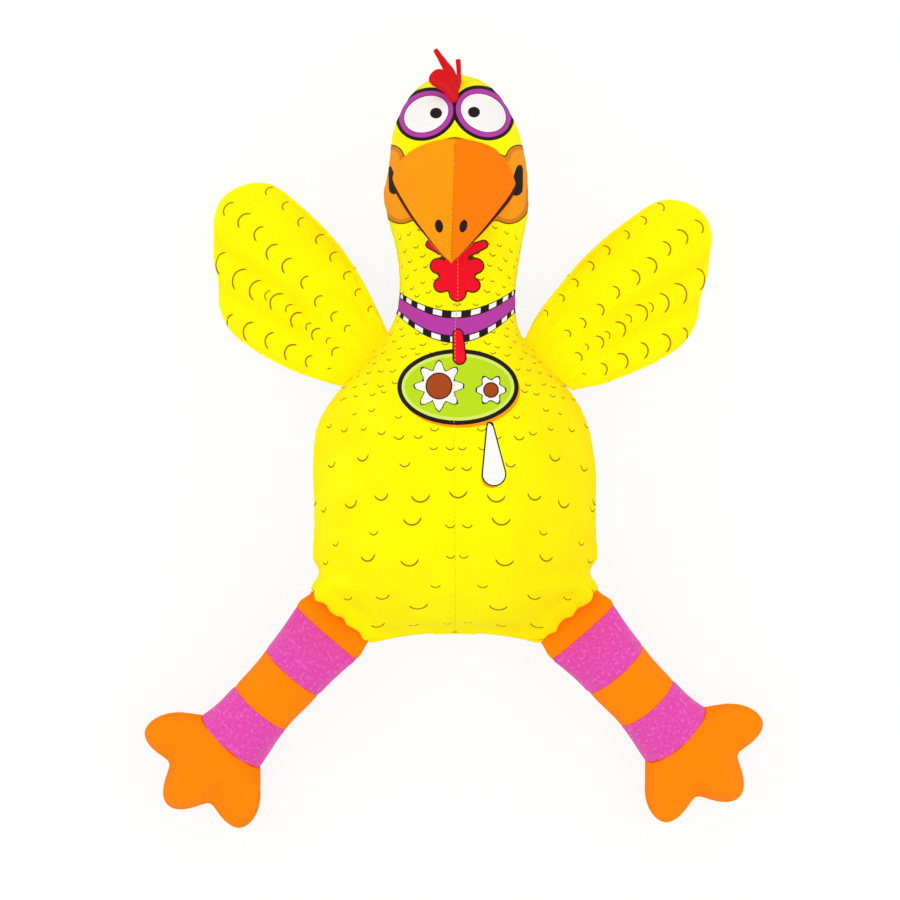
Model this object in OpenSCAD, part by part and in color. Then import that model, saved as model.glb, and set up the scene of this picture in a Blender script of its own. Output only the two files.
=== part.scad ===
// Stuffed cloth chicken, lying on its back: head towards +Y, front up (+Z), right wing at +X.
// Sizes are in millimetres. The origin is the middle of the flat that its back rests on.

/* [Cloth and seams] */
// Thickness of the printed canvas
canvas_t = 0.8; // [0.5:0.1:1.2]
// Thickness of the plush bands on the legs
plush_t = 1.6; // [1:0.1:2.2]
// Thickness of the felt comb
felt_t = 2.4; // [1.6:0.1:3.2]
// Clearance between a cloth skin and the fibre filling inside it
fill_gap = 0.3; // [0.2:0.05:0.5]
// Diameter of the thread that a limb or the comb is sewn on with
thread_d = 1.2; // [0.8:0.1:1.6]
// Clearance between that thread and the cloth on each side of it
thread_gap = 0.4; // [0.3:0.05:0.6]

/* [Torso] */
// Height of the side seams above the surface that the toy lies on
seam_z = 27; // [24:0.5:29]
// Width of the hem between the legs
hem_w = 84; // [70:1:100]
// Distance of the hem below the origin
hem_drop = 72; // [64:1:82]
// Width at the outer ends of the leg seams
hip_w = 146; // [136:1:158]
// Rise of a leg seam from the hem to the hip
hip_rise = 27; // [22:1:32]
// Width at the belly
belly_w = 142; // [130:1:154]
// Distance of the fullest part of the belly below the origin
belly_drop = 10; // [0:1:18]
// Bulge of the belly in front of the side seams
belly_front = 52; // [42:1:60]
// Bulge of the back behind the side seams, before it flattens on the surface
belly_back = 31; // [29.5:0.5:34]
// Width at the lower ends of the wing seams
shoulder_w = 112; // [102:1:120]
// Height of the lower ends of the wing seams above the origin
shoulder_h = 58; // [50:1:64]
// Width at the upper ends of the wing seams
collar_w = 69; // [64:1:76]
// Height of the upper ends of the wing seams above the origin
collar_h = 82; // [78:1:88]

/* [Neck and head] */
// Width of the neck at its narrowest
neck_w = 59; // [52:1:63]
// Height of the narrowest part of the neck above the origin
neck_h = 100; // [96:1:106]
// Bulge of the neck in front of the side seams
neck_front = 30; // [26:1:33]
// Bulge of the neck behind the side seams
neck_back = 20; // [17:1:24]
// Width of the head
head_w = 72; // [66:1:80]
// Height of the widest part of the head above the origin
head_h = 150; // [144:1:156]
// Bulge of the face in front of the side seams
head_front = 37; // [32:1:42]
// Bulge of the back of the head behind the side seams, before it flattens
head_back = 29; // [27.5:0.5:32]
// Height of the crown above the origin
crown_h = 213; // [206:1:222]

/* [Beak] */
// Width of the beak where it meets the face
beak_w = 62; // [50:1:66]
// Height of the middle of its base above the widest part of the head
beak_rise = 8; // [4:1:12]
// Reach of the base above that middle
beak_up = 22; // [18:1:26]
// Reach of the base below that middle
beak_down = 17; // [13:1:20]
// Distance that the tip hangs below the middle of the base
beak_drop = 43; // [34:1:46]
// Distance that the tip stands out in front of the face
beak_reach = 34; // [26:1:40]

/* [Comb] */
// Distance of the front end of the comb's seam below the crown
comb_front_drop = 16; // [14:0.5:19]
// Distance of the back end of the comb's seam below the crown
comb_back_drop = 4; // [3:0.5:6]
// Lean of the comb towards the left
comb_lean = 35; // [20:1:45]
// Reach of the comb's front lobe
comb_lobe_reach = 18; // [14:1:22]
// Reach of the comb's tall finger, sideways and along the seam
comb_finger_reach = 15.5; // [12:0.5:19]

/* [Wings] */
// Length of a wing from its seam to the tip of the longest feather
wing_l = 109; // [95:1:120]
// Reach of a wing's edge towards the head
wing_up = 31; // [26:1:34]
// Bow of that edge between the root and the tip
wing_bow = 8; // [4:1:11]
// Reach of a wing's edge away from the head
wing_down = 36; // [31:1:41]
// Width of the flattened wing root
wing_root_w = 38; // [34:1:42]
// Full thickness of a stuffed wing
wing_t = 25; // [20:1:30]
// Depth of the scallops between the feather tips
wing_scallop = 3; // [2:0.5:5]

/* [Legs and feet] */
// Length of a leg from its seam to the ankle
leg_l = 79; // [70:1:88]
// Width of the flattened leg root
leg_root_w = 43; // [38:1:46]
// Width of a leg at its narrowest
leg_w = 34.5; // [30:0.5:38]
// Thickness of a stuffed leg
leg_t = 31; // [27:1:34]
// Width of a leg at the ankle
ankle_w = 40; // [36:1:44]
// Length of the canvas band at the hip, beyond the seam
thigh_band_l = 8; // [6:0.5:12]
// Length of the upper plush band
upper_plush_l = 24.5; // [20:0.5:28]
// Length of the canvas band at the shin
shin_band_l = 25; // [20:0.5:28]
// Mean reach of a foot from the ankle
foot_r = 38.5; // [34:0.5:43]
// Depth of the gaps between the toes
toe_depth = 12; // [8:0.5:16]
// Angle between neighbouring toes
toe_pitch = 51; // [46:1:54]

/* [Squeaker] */
// Diameter of the squeaker's cup
squeaker_d = 46; // [38:1:52]
// Height of the squeaker with its dome up
squeaker_h = 26; // [24:0.5:30]
// Height of the cup's wall
cup_h = 16; // [14:0.5:18]
// Wall of the cup and of the dome
squeaker_wall = 1.2; // [0.8:0.1:1.6]
// Clearance of the dome in the cup
dome_gap = 0.3; // [0.2:0.05:0.5]
// Length of the dome's skirt, with its crown
dome_h = 18; // [17:0.5:19]
// Bore of the tube that holds the reed
reed_bore = 5.2; // [4.4:0.1:6]
// Length of the reed tube inside the cup
reed_tube_l = 8; // [6:0.5:10]
// Thickness of the reed
reed_t = 0.3; // [0.2:0.05:0.5]

/* [Hidden] */

YELLOW = "#ffe800";
ORANGE = "#ff8a00";
PINK = "#e34fae";
RED = "#e5101c";
FIBRE = "#f4f1ea";
PLASTIC = "#dfe6ea";
THREAD = "#e0c000";

hem_y = -hem_drop;
hip_y = hem_y + hip_rise;
belly_y = -belly_drop;
shoulder_round = 3.5; // how late the flank turns in towards the shoulder
hem_round = 2.2; // how fully the belly fills out above the hem
zones = 6; // stretches of the body below the head's dome
canvas_in = canvas_t + fill_gap; // how far the filling lies inside the canvas
seam_off = thread_gap + thread_d / 2; // from a sewn edge to the middle of its thread
root_t = 2 * canvas_t + 0.4; // thickness of a limb where it is flattened into its seam

// Stations along the body, counted in zones from the hem at 0 to the crown at 7
sleeve_from = 4.2;
sleeve_to = 5.25;
crown = 6.99;
torso_stations = [0, 0.34, 0.67, 1, 1.45, 2, 2.4, 2.7, 3, 3.5, 4, sleeve_from];
neck_gap = 0.3; // clearance between the neck's sleeve and the head
sleeve_end = sleeve_to - neck_gap / (head_h - neck_h);
neck_stations = [sleeve_from, 4.6, 5, sleeve_end];
head_stations = [sleeve_to, 5.6, 6, 6.25, 6.5, 6.7, 6.85, crown];

function mix(a, b, t) = a + (b - a) * t;
function ease(t) = let (u = min(max(t, 0), 1)) u * u * (3 - 2 * u);
function steps(from, to, n) = [for (i = [0 : n]) mix(from, to, i / n)];
function all_but_first(list) = [for (i = [1 : len(list) - 1]) list[i]];
function all_but_last(list) = [for (i = [0 : len(list) - 2]) list[i]];

// The stuffed body: at each height a front arc and a back arc meet at the side seams

function level(zone, c) =
    [hem_y + c, hip_y, belly_y, shoulder_h, collar_h, neck_h, head_h, crown_h - c][zone];

function body_width(zone, x) =
    zone == 0 ? mix(hem_w, hip_w, x) :
    zone == 1 ? mix(hip_w, belly_w, ease(x)) :
    zone == 2 ? mix(belly_w, shoulder_w, pow(x, shoulder_round)) :
    zone == 3 ? mix(shoulder_w, collar_w, x) :
    zone == 4 ? mix(collar_w, neck_w, 1 - pow(1 - x, 2)) :
    mix(neck_w, head_w, ease(x));

function bulge(belly, neck, head, zone, x, y, c) =
    zone == zones ? (head - c) * cos(90 * x) :
    zone == zones - 1 ? mix(neck, head, ease(x)) - c :
    y < belly_y ? (belly - c) * (1 - pow((belly_y - y) / (belly_y - hem_y - c), hem_round)) :
    mix(belly, neck, ease((y - belly_y) / (neck_h - belly_y))) - c;

// A station drawn in by c: its height, half width, and bulges in front and behind
function station(s, c) =
    let (zone = min(floor(s), zones), x = s - zone,
         y = zone < zones ? mix(level(zone, c), level(zone + 1, c), x)
                          : mix(head_h, level(zone + 1, c), sin(90 * x)))
    [y,
     zone < zones ? body_width(zone, x) / 2 - c : (head_w / 2 - c) * cos(90 * x),
     bulge(belly_front, neck_front, head_front, zone, x, y, c),
     bulge(belly_back, neck_back, head_back, zone, x, y, c)];

// A point of a station's arc: k runs from -1 at the left seam to 1 at the right, side is 1 in front
function arc_point(st, k, side, c) =
    let (a = st[1], h = side > 0 ? st[2] : st[3])
    abs(k) == 1 || h < 0.01 ? [a * k, st[0], seam_z] :
    let (half = 2 * atan(h / a), r = (a * a + h * h) / (2 * h))
    [r * sin(half * k), st[0], max(seam_z + side * (r * cos(half * k) - r + h), c)];

function body_grid(stations, ks, side, c) =
    [for (s = stations) let (st = station(s, c)) [for (k = ks) arc_point(st, k, side, c)]];

function body_rings(stations, n, c) =
    [for (s = stations) let (st = station(s, c))
        concat([for (k = steps(-1, 1, n)) arc_point(st, k, 1, c)],
               [for (i = [1 : n - 1]) arc_point(st, mix(1, -1, i / n), -1, c)])];

// The head's dome: the angle up it at a height, and the face's height above the seams at x
function dome_angle(y) = asin((y - head_h) / (crown_h - head_h));
function face_z(x, y) =
    let (up = y > head_h ? cos(dome_angle(y)) : 1,
         x5 = (y - neck_h) / (head_h - neck_h),
         a = y > head_h ? head_w / 2 * up : body_width(zones - 1, x5) / 2,
         h = y > head_h ? head_front * up : mix(neck_front, head_front, ease(x5)),
         r = (a * a + h * h) / (2 * h))
    seam_z + sqrt(r * r - x * x) - r + h;

// Solids from grids of points. Columns cross rows so that column x row points outwards.

function distinct(points, faces) =
    [for (f = faces) if (points[f[0]] != points[f[1]] && points[f[1]] != points[f[2]]
        && points[f[2]] != points[f[0]]) f];

// A four-sided facet as two triangles, split from a to c or, turned, from b to d
function quad(a, b, c, d, turned = false) =
    turned ? [[b, c, d], [b, d, a]] : [[a, b, c], [a, c, d]];

// A sheet between two grids: skin, or a whole cushion where they are its front and back.
// A closed sheet goes right round, so its first column follows its last. A pinched one runs out
// to a flat rim, and its first column is split the other way to keep its facets out of the rim's plane.
module sheet(outer, inner, closed = false, pinched = false) {
    m = len(outer) - 1;
    n = len(outer[0]) - 1;
    w = n + 1;
    turns = closed ? n : n - 1;
    inside = (m + 1) * w;
    points = concat([for (row = outer) each row], [for (row = inner) each row]);
    faces = [
        for (i = [0 : m - 1], j = [0 : turns])
            let (a = i * w + j, b = i * w + (j + 1) % w, c = b + w, d = a + w, turned = pinched && j == 0)
            each concat(quad(a, d, c, b, turned),
                        quad(a + inside, b + inside, c + inside, d + inside, turned)),
        for (j = [0 : turns])
            let (a = j, b = (j + 1) % w, d = a + m * w, c = b + m * w)
            each concat(quad(a, b, b + inside, a + inside), quad(c, d, d + inside, c + inside)),
        if (!closed) for (i = [0 : m - 1])
            let (a = i * w, d = a + w, b = a + n, c = b + w)
            each concat(quad(d, a, a + inside, d + inside), quad(b, c, c + inside, b + inside))
    ];
    polyhedron(points, distinct(points, faces));
}

// A solid through closed rings, with a flat cap at each end
module loft(rings) {
    m = len(rings) - 1;
    w = len(rings[0]);
    points = [for (ring = rings) each ring];
    faces = concat(
        [for (i = [0 : m - 1], j = [0 : w - 1])
            let (a = i * w + j, b = i * w + (j + 1) % w)
            each quad(a, a + w, b + w, b)],
        [for (j = [1 : w - 2]) [0, j, j + 1]],
        [for (j = [1 : w - 2]) [m * w, m * w + j + 1, m * w + j]]);
    polyhedron(points, faces);
}

module mirrored(side) {
    if (side == "left") mirror([1, 0, 0]) children();
    else children();
}

// Torso, neck and head

arc_n = 12; // facets across the front and across the back
left_ks = steps(-1, 0, arc_n / 2);
right_ks = steps(0, 1, arc_n / 2);
back_ks = steps(1, -1, arc_n);

module panel(stations, ks, side) color(YELLOW)
    sheet(body_grid(stations, ks, side, 0), body_grid(stations, ks, side, canvas_t));

// The filling stops short of the hem, where the two cloths come together
module torso_filling(side) color(FIBRE)
    difference() {
        loft(body_grid(all_but_first(torso_stations), steps(-side, side, arc_n), side, canvas_in));
        squeaker_pocket();
    }

module neck_sleeve() color(YELLOW)
    sheet(body_rings(neck_stations, arc_n, 0), body_rings(neck_stations, arc_n, canvas_t), closed = true);

module neck_filling() color(FIBRE)
    loft(body_rings(neck_stations, arc_n, canvas_in));

module head_filling() color(FIBRE)
    loft(body_rings(head_stations, arc_n, canvas_in));

// Beak: a plump cone whose base follows the face and whose tip hangs over the throat

beak_h = head_h + beak_rise;
beak_lift = 0.6; // how far the base stands off the face
beak_rows = steps(0, 1, 6);
beak_step = 22.5; // angle between the facets round the beak
beak_fullness = 1.15; // how far out the beak stays plump

function beak_point(angle, x, c) =
    let (up = sin(angle), reach = up > 0 ? beak_up : beak_down,
         bx = (beak_w / 2 - c) * cos(angle), by = beak_h + (reach - c) * up,
         base = [bx, by, face_z(bx, by) + beak_lift],
         middle = [0, beak_h, face_z(0, beak_h) + beak_lift],
         reach_out = [0, -beak_drop, beak_reach],
         tip = middle + reach_out * (1 - 3 * c / norm(reach_out)))
    mix(middle, tip, x) + (base - middle) * (1 - pow(x, beak_fullness));

function beak_grid(angles, c) = [for (x = beak_rows) [for (a = angles) beak_point(a, x, c)]];

module beak_half() color(ORANGE)
    sheet(beak_grid(steps(-90, 90, 180 / beak_step), 0), beak_grid(steps(-90, 90, 180 / beak_step), canvas_t));

// The base is rounded off inwards so that it clears the face all over
module beak_filling() color(FIBRE) {
    angles = steps(0, 360 - beak_step, 360 / beak_step - 1);
    cap_rows = [0.15, 0.6];
    loft(concat(
        [for (x = cap_rows) [for (a = angles)
            let (p = beak_point(a, 0, canvas_in), q = [p.x * x, mix(beak_h, p.y, x)])
            [q.x, q.y, face_z(q.x, q.y) + beak_lift]]],
        [for (i = [0 : len(beak_rows) - 2]) [for (a = angles) beak_point(a, beak_rows[i], canvas_in)]]));
}

// Comb: felt fingers in a plane that leans on the seam over the crown

comb_front_h = crown_h - comb_front_drop;
comb_back_h = crown_h - comb_back_drop;
comb_a = [0, comb_front_h, seam_z + head_front * cos(dome_angle(comb_front_h))];
comb_b = [0, comb_back_h, seam_z + head_front * cos(dome_angle(comb_back_h))];
comb_l = norm(comb_b - comb_a);
comb_tilt = atan2(comb_a.z - comb_b.z, comb_b.y - comb_a.y);
comb_mid_angle = (dome_angle(comb_front_h) + dome_angle(comb_back_h)) / 2;
comb_out = [0, sin(comb_tilt), cos(comb_tilt)];
comb_crest = [0, head_h + (crown_h - head_h) * sin(comb_mid_angle), seam_z + head_front * cos(comb_mid_angle)];
comb_rise = (comb_crest - comb_a) * comb_out; // how far the crown stands above the straight seam
comb_axis_h = comb_rise + thread_d / 2 + thread_gap + 0.4;
lobe_r = 5.5;
finger_r = 2.1;

module on_comb_seam()
    translate(comb_a + comb_axis_h * comb_out)
    rotate([-comb_tilt, 0, 0]) rotate([90, 0, 90]) children();

module comb_finger(from, to, from_r, to_r) hull() {
    translate(from) circle(from_r, $fn = 24);
    translate(to) circle(to_r, $fn = 24);
}

module comb() color(RED)
    on_comb_seam() rotate([-comb_lean, 0, 0]) translate([0, 0, -felt_t / 2])
    linear_extrude(felt_t) difference() {
        union() {
            comb_finger([lobe_r / 2, lobe_r / 2], [comb_lobe_reach / 4, comb_lobe_reach], lobe_r / 2, lobe_r);
            comb_finger([comb_l / 2, finger_r], [comb_l / 2 + comb_finger_reach, comb_finger_reach], 3.5, finger_r);
            comb_finger([comb_l * 0.75, finger_r], [comb_l * 1.4, comb_finger_reach / 2], 3, finger_r);
            square([comb_l, lobe_r]);
        }
        translate([-comb_l, -comb_l + seam_off]) square([3 * comb_l, comb_l]);
    }

module comb_thread() color(RED)
    on_comb_seam() rotate([0, 90, 0]) cylinder(d = thread_d, h = comb_l, $fn = 24);

// Limbs are drawn lying along +X from their thread, +Y along the seam, and then sewn on

// The middle of a seam, moved out to its thread, and the direction in which the limb leaves
function seam_turn(from, to) = atan2(from.x - to.x, to.y - from.y);
function seam_middle(from, to) =
    let (turn = seam_turn(from, to), m = (from + to) / 2)
    [m.x + seam_off * cos(turn), m.y + seam_off * sin(turn), seam_z];

// How far a limb tips down about its seam until a thick place d out, half thickness h, reaches the surface
function droop(d, h) = asin((seam_z - rest_gap) / norm([d, h])) - atan(h / d);
rest_gap = 0.4; // what a limb keeps clear of the surface in its stored pose

module sewn_on(from, to, tip) translate(seam_middle(from, to))
    rotate([0, 0, seam_turn(from, to)]) rotate([0, tip, 0]) children();

module seam_thread(from, to) color(THREAD)
    sewn_on(from, to, 0) translate([0, norm(to - from) / 2, 0])
    rotate([90, 0, 0]) cylinder(d = thread_d, h = norm(to - from), $fn = 24);

// Wing: a flat cushion that fans out from its root to three scalloped feathers

wing_low = [shoulder_w / 2, shoulder_h];
wing_high = [collar_w / 2, collar_h];
wing_tip = droop(0.7 * wing_l, 0.48 * wing_t);
feathers = 3;
wing_rows = [0, 0.1, 0.22, 0.4, 0.6, 0.8, 0.93, 1];
wing_js = steps(0, 1, 12);

// The end of the wing runs on one curve from the head side to the far side, with a scallop for each feather
function wing_end(j, c) =
    let (a = [0.88 * wing_l, wing_up - c], b = [1.28 * wing_l, 0], d = [0.48 * wing_l, -wing_down + c],
         curve = a * pow(1 - j, 2) + b * 2 * j * (1 - j) + d * j * j,
         notch = 1 - abs(sin(180 * feathers * j)))
    curve - [c + wing_scallop * notch * (j > 0 && j < 1 ? 1 : 0), 0];

function wing_point(x, j, side, c) =
    let (root = [seam_off, (wing_root_w / 2 - c) * (1 - 2 * j) - wing_root_w / 16],
         p = mix(root, wing_end(j, c), x) + [0, wing_bow * (1 - j) * sin(180 * x)],
         full = mix(root_t / 2, wing_t / 2, ease(x / 0.5)) - c,
         lobes = 0.8 + 0.2 * abs(sin(180 * feathers * j)),
         edge = pow(1 - pow(2 * j - 1, 2), 0.6),
         end = pow(1 - pow(x, 5), 0.6))
    [p.x, p.y, side * full * lobes * edge * end];

function wing_grid(xs, js, side, c) = [for (x = xs) [for (j = js) wing_point(x, j, side, c)]];

module wing_skin() color(YELLOW)
    sheet(wing_grid(wing_rows, wing_js, 1, 0), wing_grid(wing_rows, wing_js, 1, canvas_t), pinched = true);

module wing_filling() color(FIBRE) {
    xs = all_but_last(all_but_first(all_but_first(wing_rows)));
    sheet(wing_grid(xs, wing_js, 1, canvas_in), wing_grid(xs, wing_js, -1, canvas_in), pinched = true);
}

module on_wing_seam() sewn_on(wing_low, wing_high, wing_tip) children();

// Leg: a stuffed tube, flattened at the hip, of four bands

leg_low = [hem_w / 2, hem_y];
leg_high = [hip_w / 2, hip_y];
leg_tip = droop(leg_l + 0.45 * foot_r, leg_t / 2);
leg_narrow = 0.64 * leg_l;
leg_fill_out = 27; // how far from the seam a leg reaches its full thickness
leg_n = 14; // facets round a leg
band_steps = [2, 3, 2, 2]; // facets along each band
band_ends = [seam_off, thigh_band_l, thigh_band_l + upper_plush_l,
             thigh_band_l + upper_plush_l + shin_band_l, leg_l];

function leg_half_w(x) = leg_w / 2 + (x < leg_narrow
    ? (leg_root_w - leg_w) / 2 * pow(1 - x / leg_narrow, 2)
    : (ankle_w - leg_w) / 2 * pow((x - leg_narrow) / (leg_l - leg_narrow), 2));
function leg_half_t(x) = mix(root_t / 2, leg_t / 2, ease(x / leg_fill_out));

function leg_ring(x, n, c) =
    [for (i = [0 : n - 1]) let (a = 360 * i / n)
        [x, (leg_half_w(x) - c) * cos(a), (leg_half_t(x) - min(c, leg_half_t(x) - 0.2)) * sin(a)]];

module leg_band(i, cloth_t, tint) color(tint) {
    xs = steps(band_ends[i], band_ends[i + 1], band_steps[i]);
    sheet([for (x = xs) leg_ring(x, leg_n, 0)], [for (x = xs) leg_ring(x, leg_n, cloth_t)], closed = true);
}

module leg_filling() color(FIBRE) {
    in = max(canvas_t, plush_t) + fill_gap;
    xs = concat([for (i = [1 : 3], j = [0 : band_steps[i] - 1])
        mix(band_ends[i], band_ends[i + 1], j / band_steps[i])], [leg_l]);
    loft([for (x = xs) leg_ring(x, leg_n, in)]);
}

module on_leg_seam() sewn_on(leg_low, leg_high, leg_tip) children();

// Foot: a cushion that fans out from the ankle to three toes

toe_reach = 78; // angle from the leg's line to the outer edge of an outer toe
foot_rows = [0, 0.3, 0.55, 0.75, 0.9, 1];
foot_js = steps(0, 1, 20);

function foot_end(j, c) =
    let (angle = toe_reach * (1 - 2 * j), r = foot_r + toe_depth / 2 * cos(360 * angle / toe_pitch) - c)
    r * [cos(angle), sin(angle)];

function foot_point(x, j, side, c) =
    let (start = [0, (ankle_w / 2 - c) * cos(180 * j)],
         p = mix(start, foot_end(j, c), x))
    [leg_l + p.x, p.y, side * (leg_half_t(leg_l) - c) * sin(180 * j) * pow(1 - pow(x, 3), 0.55)];

function foot_grid(xs, js, side, c) = [for (x = xs) [for (j = js) foot_point(x, j, side, c)]];

module foot_skin() color(ORANGE)
    sheet(foot_grid(foot_rows, foot_js, 1, 0), foot_grid(foot_rows, foot_js, 1, canvas_t), pinched = true);

module foot_filling() color(FIBRE) {
    xs = all_but_last(foot_rows);
    sheet(foot_grid(xs, foot_js, 1, canvas_in), foot_grid(xs, foot_js, -1, canvas_in), pinched = true);
}

// Squeaker: a dome that slides into a cup over a reed tube, packed in the middle of the torso

squeaker_rise = 8; // how far the squeaker sits above the fullest part of the belly
squeaker_y = belly_y + squeaker_rise;
squeaker_z = seam_z - squeaker_h / 2;
dome_d = squeaker_d - 2 * squeaker_wall - 2 * dome_gap;
dome_round = 5;
tube_wall = 1.2;
tube_fit = 0.05; // clearance of the reed tube in the cup's floor
flange_t = 1;

module at_squeaker() translate([0, squeaker_y, squeaker_z]) children();

module squeaker_pocket() at_squeaker()
    translate([0, 0, -fill_gap]) cylinder(d = squeaker_d + 2 * fill_gap, h = squeaker_h + 2 * fill_gap, $fn = 48);

module squeaker_cup() color(PLASTIC) at_squeaker() difference() {
    cylinder(d = squeaker_d, h = cup_h, $fn = 48);
    translate([0, 0, squeaker_wall]) cylinder(d = squeaker_d - 2 * squeaker_wall, h = cup_h, $fn = 48);
    translate([0, 0, -1]) cylinder(d = reed_bore + 2 * (tube_wall + tube_fit), h = squeaker_wall + 2, $fn = 32);
}

// Half section of the dome's outside, set in by c
module dome_half(c) {
    r = dome_d / 2 - c;
    top = squeaker_h - c;
    low = squeaker_h - dome_h;
    square_h = top - dome_round - low;
    translate([0, low]) square([r, square_h]);
    translate([0, low]) square([r - dome_round, top - low]);
    intersection() {
        translate([r - dome_round, top - dome_round]) circle(dome_round, $fn = 48);
        translate([0, low]) square([r, top - low]);
    }
}

module squeaker_dome() color(PLASTIC) at_squeaker() rotate_extrude($fn = 48) difference() {
    dome_half(0);
    translate([0, -squeaker_wall]) dome_half(squeaker_wall);
    translate([0, squeaker_h - dome_h - 1]) square([dome_d / 2 - squeaker_wall, 2]);
}

module squeaker_reed_tube() color(PLASTIC) at_squeaker() difference() {
    union() {
        cylinder(d = reed_bore + 2 * tube_wall, h = squeaker_wall + reed_tube_l, $fn = 32);
        translate([0, 0, squeaker_wall]) cylinder(d = reed_bore + 2 * tube_wall + 4, h = flange_t, $fn = 32);
    }
    translate([0, 0, -1]) cylinder(d = reed_bore, h = squeaker_wall + reed_tube_l + 2, $fn = 32);
}

module squeaker_reed() color(RED) at_squeaker()
    translate([-reed_t / 2, -reed_bore / 2 + 0.1, squeaker_wall])
    cube([reed_t, reed_bore - 0.2, reed_tube_l]);

// The pieces of one side
module limb_piece(side, piece) mirrored(side) {
    if (piece == "wing_front") on_wing_seam() wing_skin();
    if (piece == "wing_back") on_wing_seam() mirror([0, 0, 1]) wing_skin();
    if (piece == "wing_filling") on_wing_seam() wing_filling();
    if (piece == "wing_thread") seam_thread(wing_low, wing_high);
    if (piece == "thigh_band") on_leg_seam() leg_band(0, canvas_t, ORANGE);
    if (piece == "upper_plush_band") on_leg_seam() leg_band(1, plush_t, PINK);
    if (piece == "shin_band") on_leg_seam() leg_band(2, canvas_t, ORANGE);
    if (piece == "lower_plush_band") on_leg_seam() leg_band(3, plush_t, PINK);
    if (piece == "leg_filling") on_leg_seam() leg_filling();
    if (piece == "leg_thread") seam_thread(leg_low, leg_high);
    if (piece == "foot_front") on_leg_seam() foot_skin();
    if (piece == "foot_back") on_leg_seam() mirror([0, 0, 1]) foot_skin();
    if (piece == "foot_filling") on_leg_seam() foot_filling();
}

panel(torso_stations, left_ks, 1);  // torso_front_left
panel(torso_stations, right_ks, 1);  // torso_front_right
panel(torso_stations, back_ks, -1);  // torso_back
torso_filling(1);  // torso_filling_front
torso_filling(-1);  // torso_filling_back
squeaker_cup();
squeaker_dome();
squeaker_reed_tube();
squeaker_reed();
neck_sleeve();
neck_filling();
panel(head_stations, left_ks, 1);  // head_front_left
panel(head_stations, right_ks, 1);  // head_front_right
panel(head_stations, back_ks, -1);  // head_back
head_filling();
mirrored("left") beak_half();  // beak_left
beak_half();  // beak_right
beak_filling();
comb();
comb_thread();
for (side = ["left", "right"], piece = ["wing_front", "wing_back", "wing_filling", "wing_thread",
    "thigh_band", "upper_plush_band", "shin_band", "lower_plush_band", "leg_filling", "leg_thread",
    "foot_front", "foot_back", "foot_filling"])
    limb_piece(side, piece);
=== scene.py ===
import math
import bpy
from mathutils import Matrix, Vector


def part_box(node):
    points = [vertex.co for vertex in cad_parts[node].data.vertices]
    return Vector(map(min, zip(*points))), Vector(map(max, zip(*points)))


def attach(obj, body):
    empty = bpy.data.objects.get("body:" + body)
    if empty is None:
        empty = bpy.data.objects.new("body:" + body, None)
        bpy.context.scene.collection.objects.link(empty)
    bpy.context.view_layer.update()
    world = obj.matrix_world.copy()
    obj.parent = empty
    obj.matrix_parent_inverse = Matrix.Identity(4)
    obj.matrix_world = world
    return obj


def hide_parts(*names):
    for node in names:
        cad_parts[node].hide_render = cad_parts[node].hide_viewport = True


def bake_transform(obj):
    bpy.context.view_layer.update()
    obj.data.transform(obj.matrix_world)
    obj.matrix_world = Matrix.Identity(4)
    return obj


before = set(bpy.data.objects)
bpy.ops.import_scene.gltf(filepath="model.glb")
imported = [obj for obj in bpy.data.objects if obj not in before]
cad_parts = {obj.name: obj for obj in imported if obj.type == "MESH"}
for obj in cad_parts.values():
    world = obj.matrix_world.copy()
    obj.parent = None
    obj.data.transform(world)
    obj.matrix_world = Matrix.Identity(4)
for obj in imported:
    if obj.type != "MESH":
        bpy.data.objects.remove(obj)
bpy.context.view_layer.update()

from types import SimpleNamespace

import bmesh
import bpy
import numpy as np
from bpy.props import FloatProperty, FloatVectorProperty, PointerProperty

bl_info = {
    "name": "Stuffed Cloth Chicken",
    "version": (1, 0, 0),
    "blender": (4, 5, 0),
    "location": "3D View > Sidebar > Chicken",
    "description": "Dresses the packed cloth chicken in stuffed skins, prints and thread",
    "category": "Object",
}

TORSO_LOW, TORSO_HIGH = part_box("torso_back")
BELLY_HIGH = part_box("torso_front_left")[1]
FACE_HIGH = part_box("head_front_left")[1]
CROWN_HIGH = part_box("head_back")[1]
SIDES = {"left": -1, "right": 1}


def hex_linear(code):
    """An sRGB hex colour as the linear colour that Blender works in."""
    parts = [int(code[i:i + 2], 16) / 255 for i in (1, 3, 5)]
    return tuple(c / 12.92 if c <= 0.04045 else ((c + 0.055) / 1.055) ** 2.4 for c in parts) + (1.0,)


def length(label, description, metres):
    return FloatProperty(name=label, description=description, default=metres, unit="LENGTH", precision=4)


def colour(label, description, code):
    return FloatVectorProperty(name=label, description=description, default=hex_linear(code),
                               subtype="COLOR", size=4, min=0, max=1)


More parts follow.
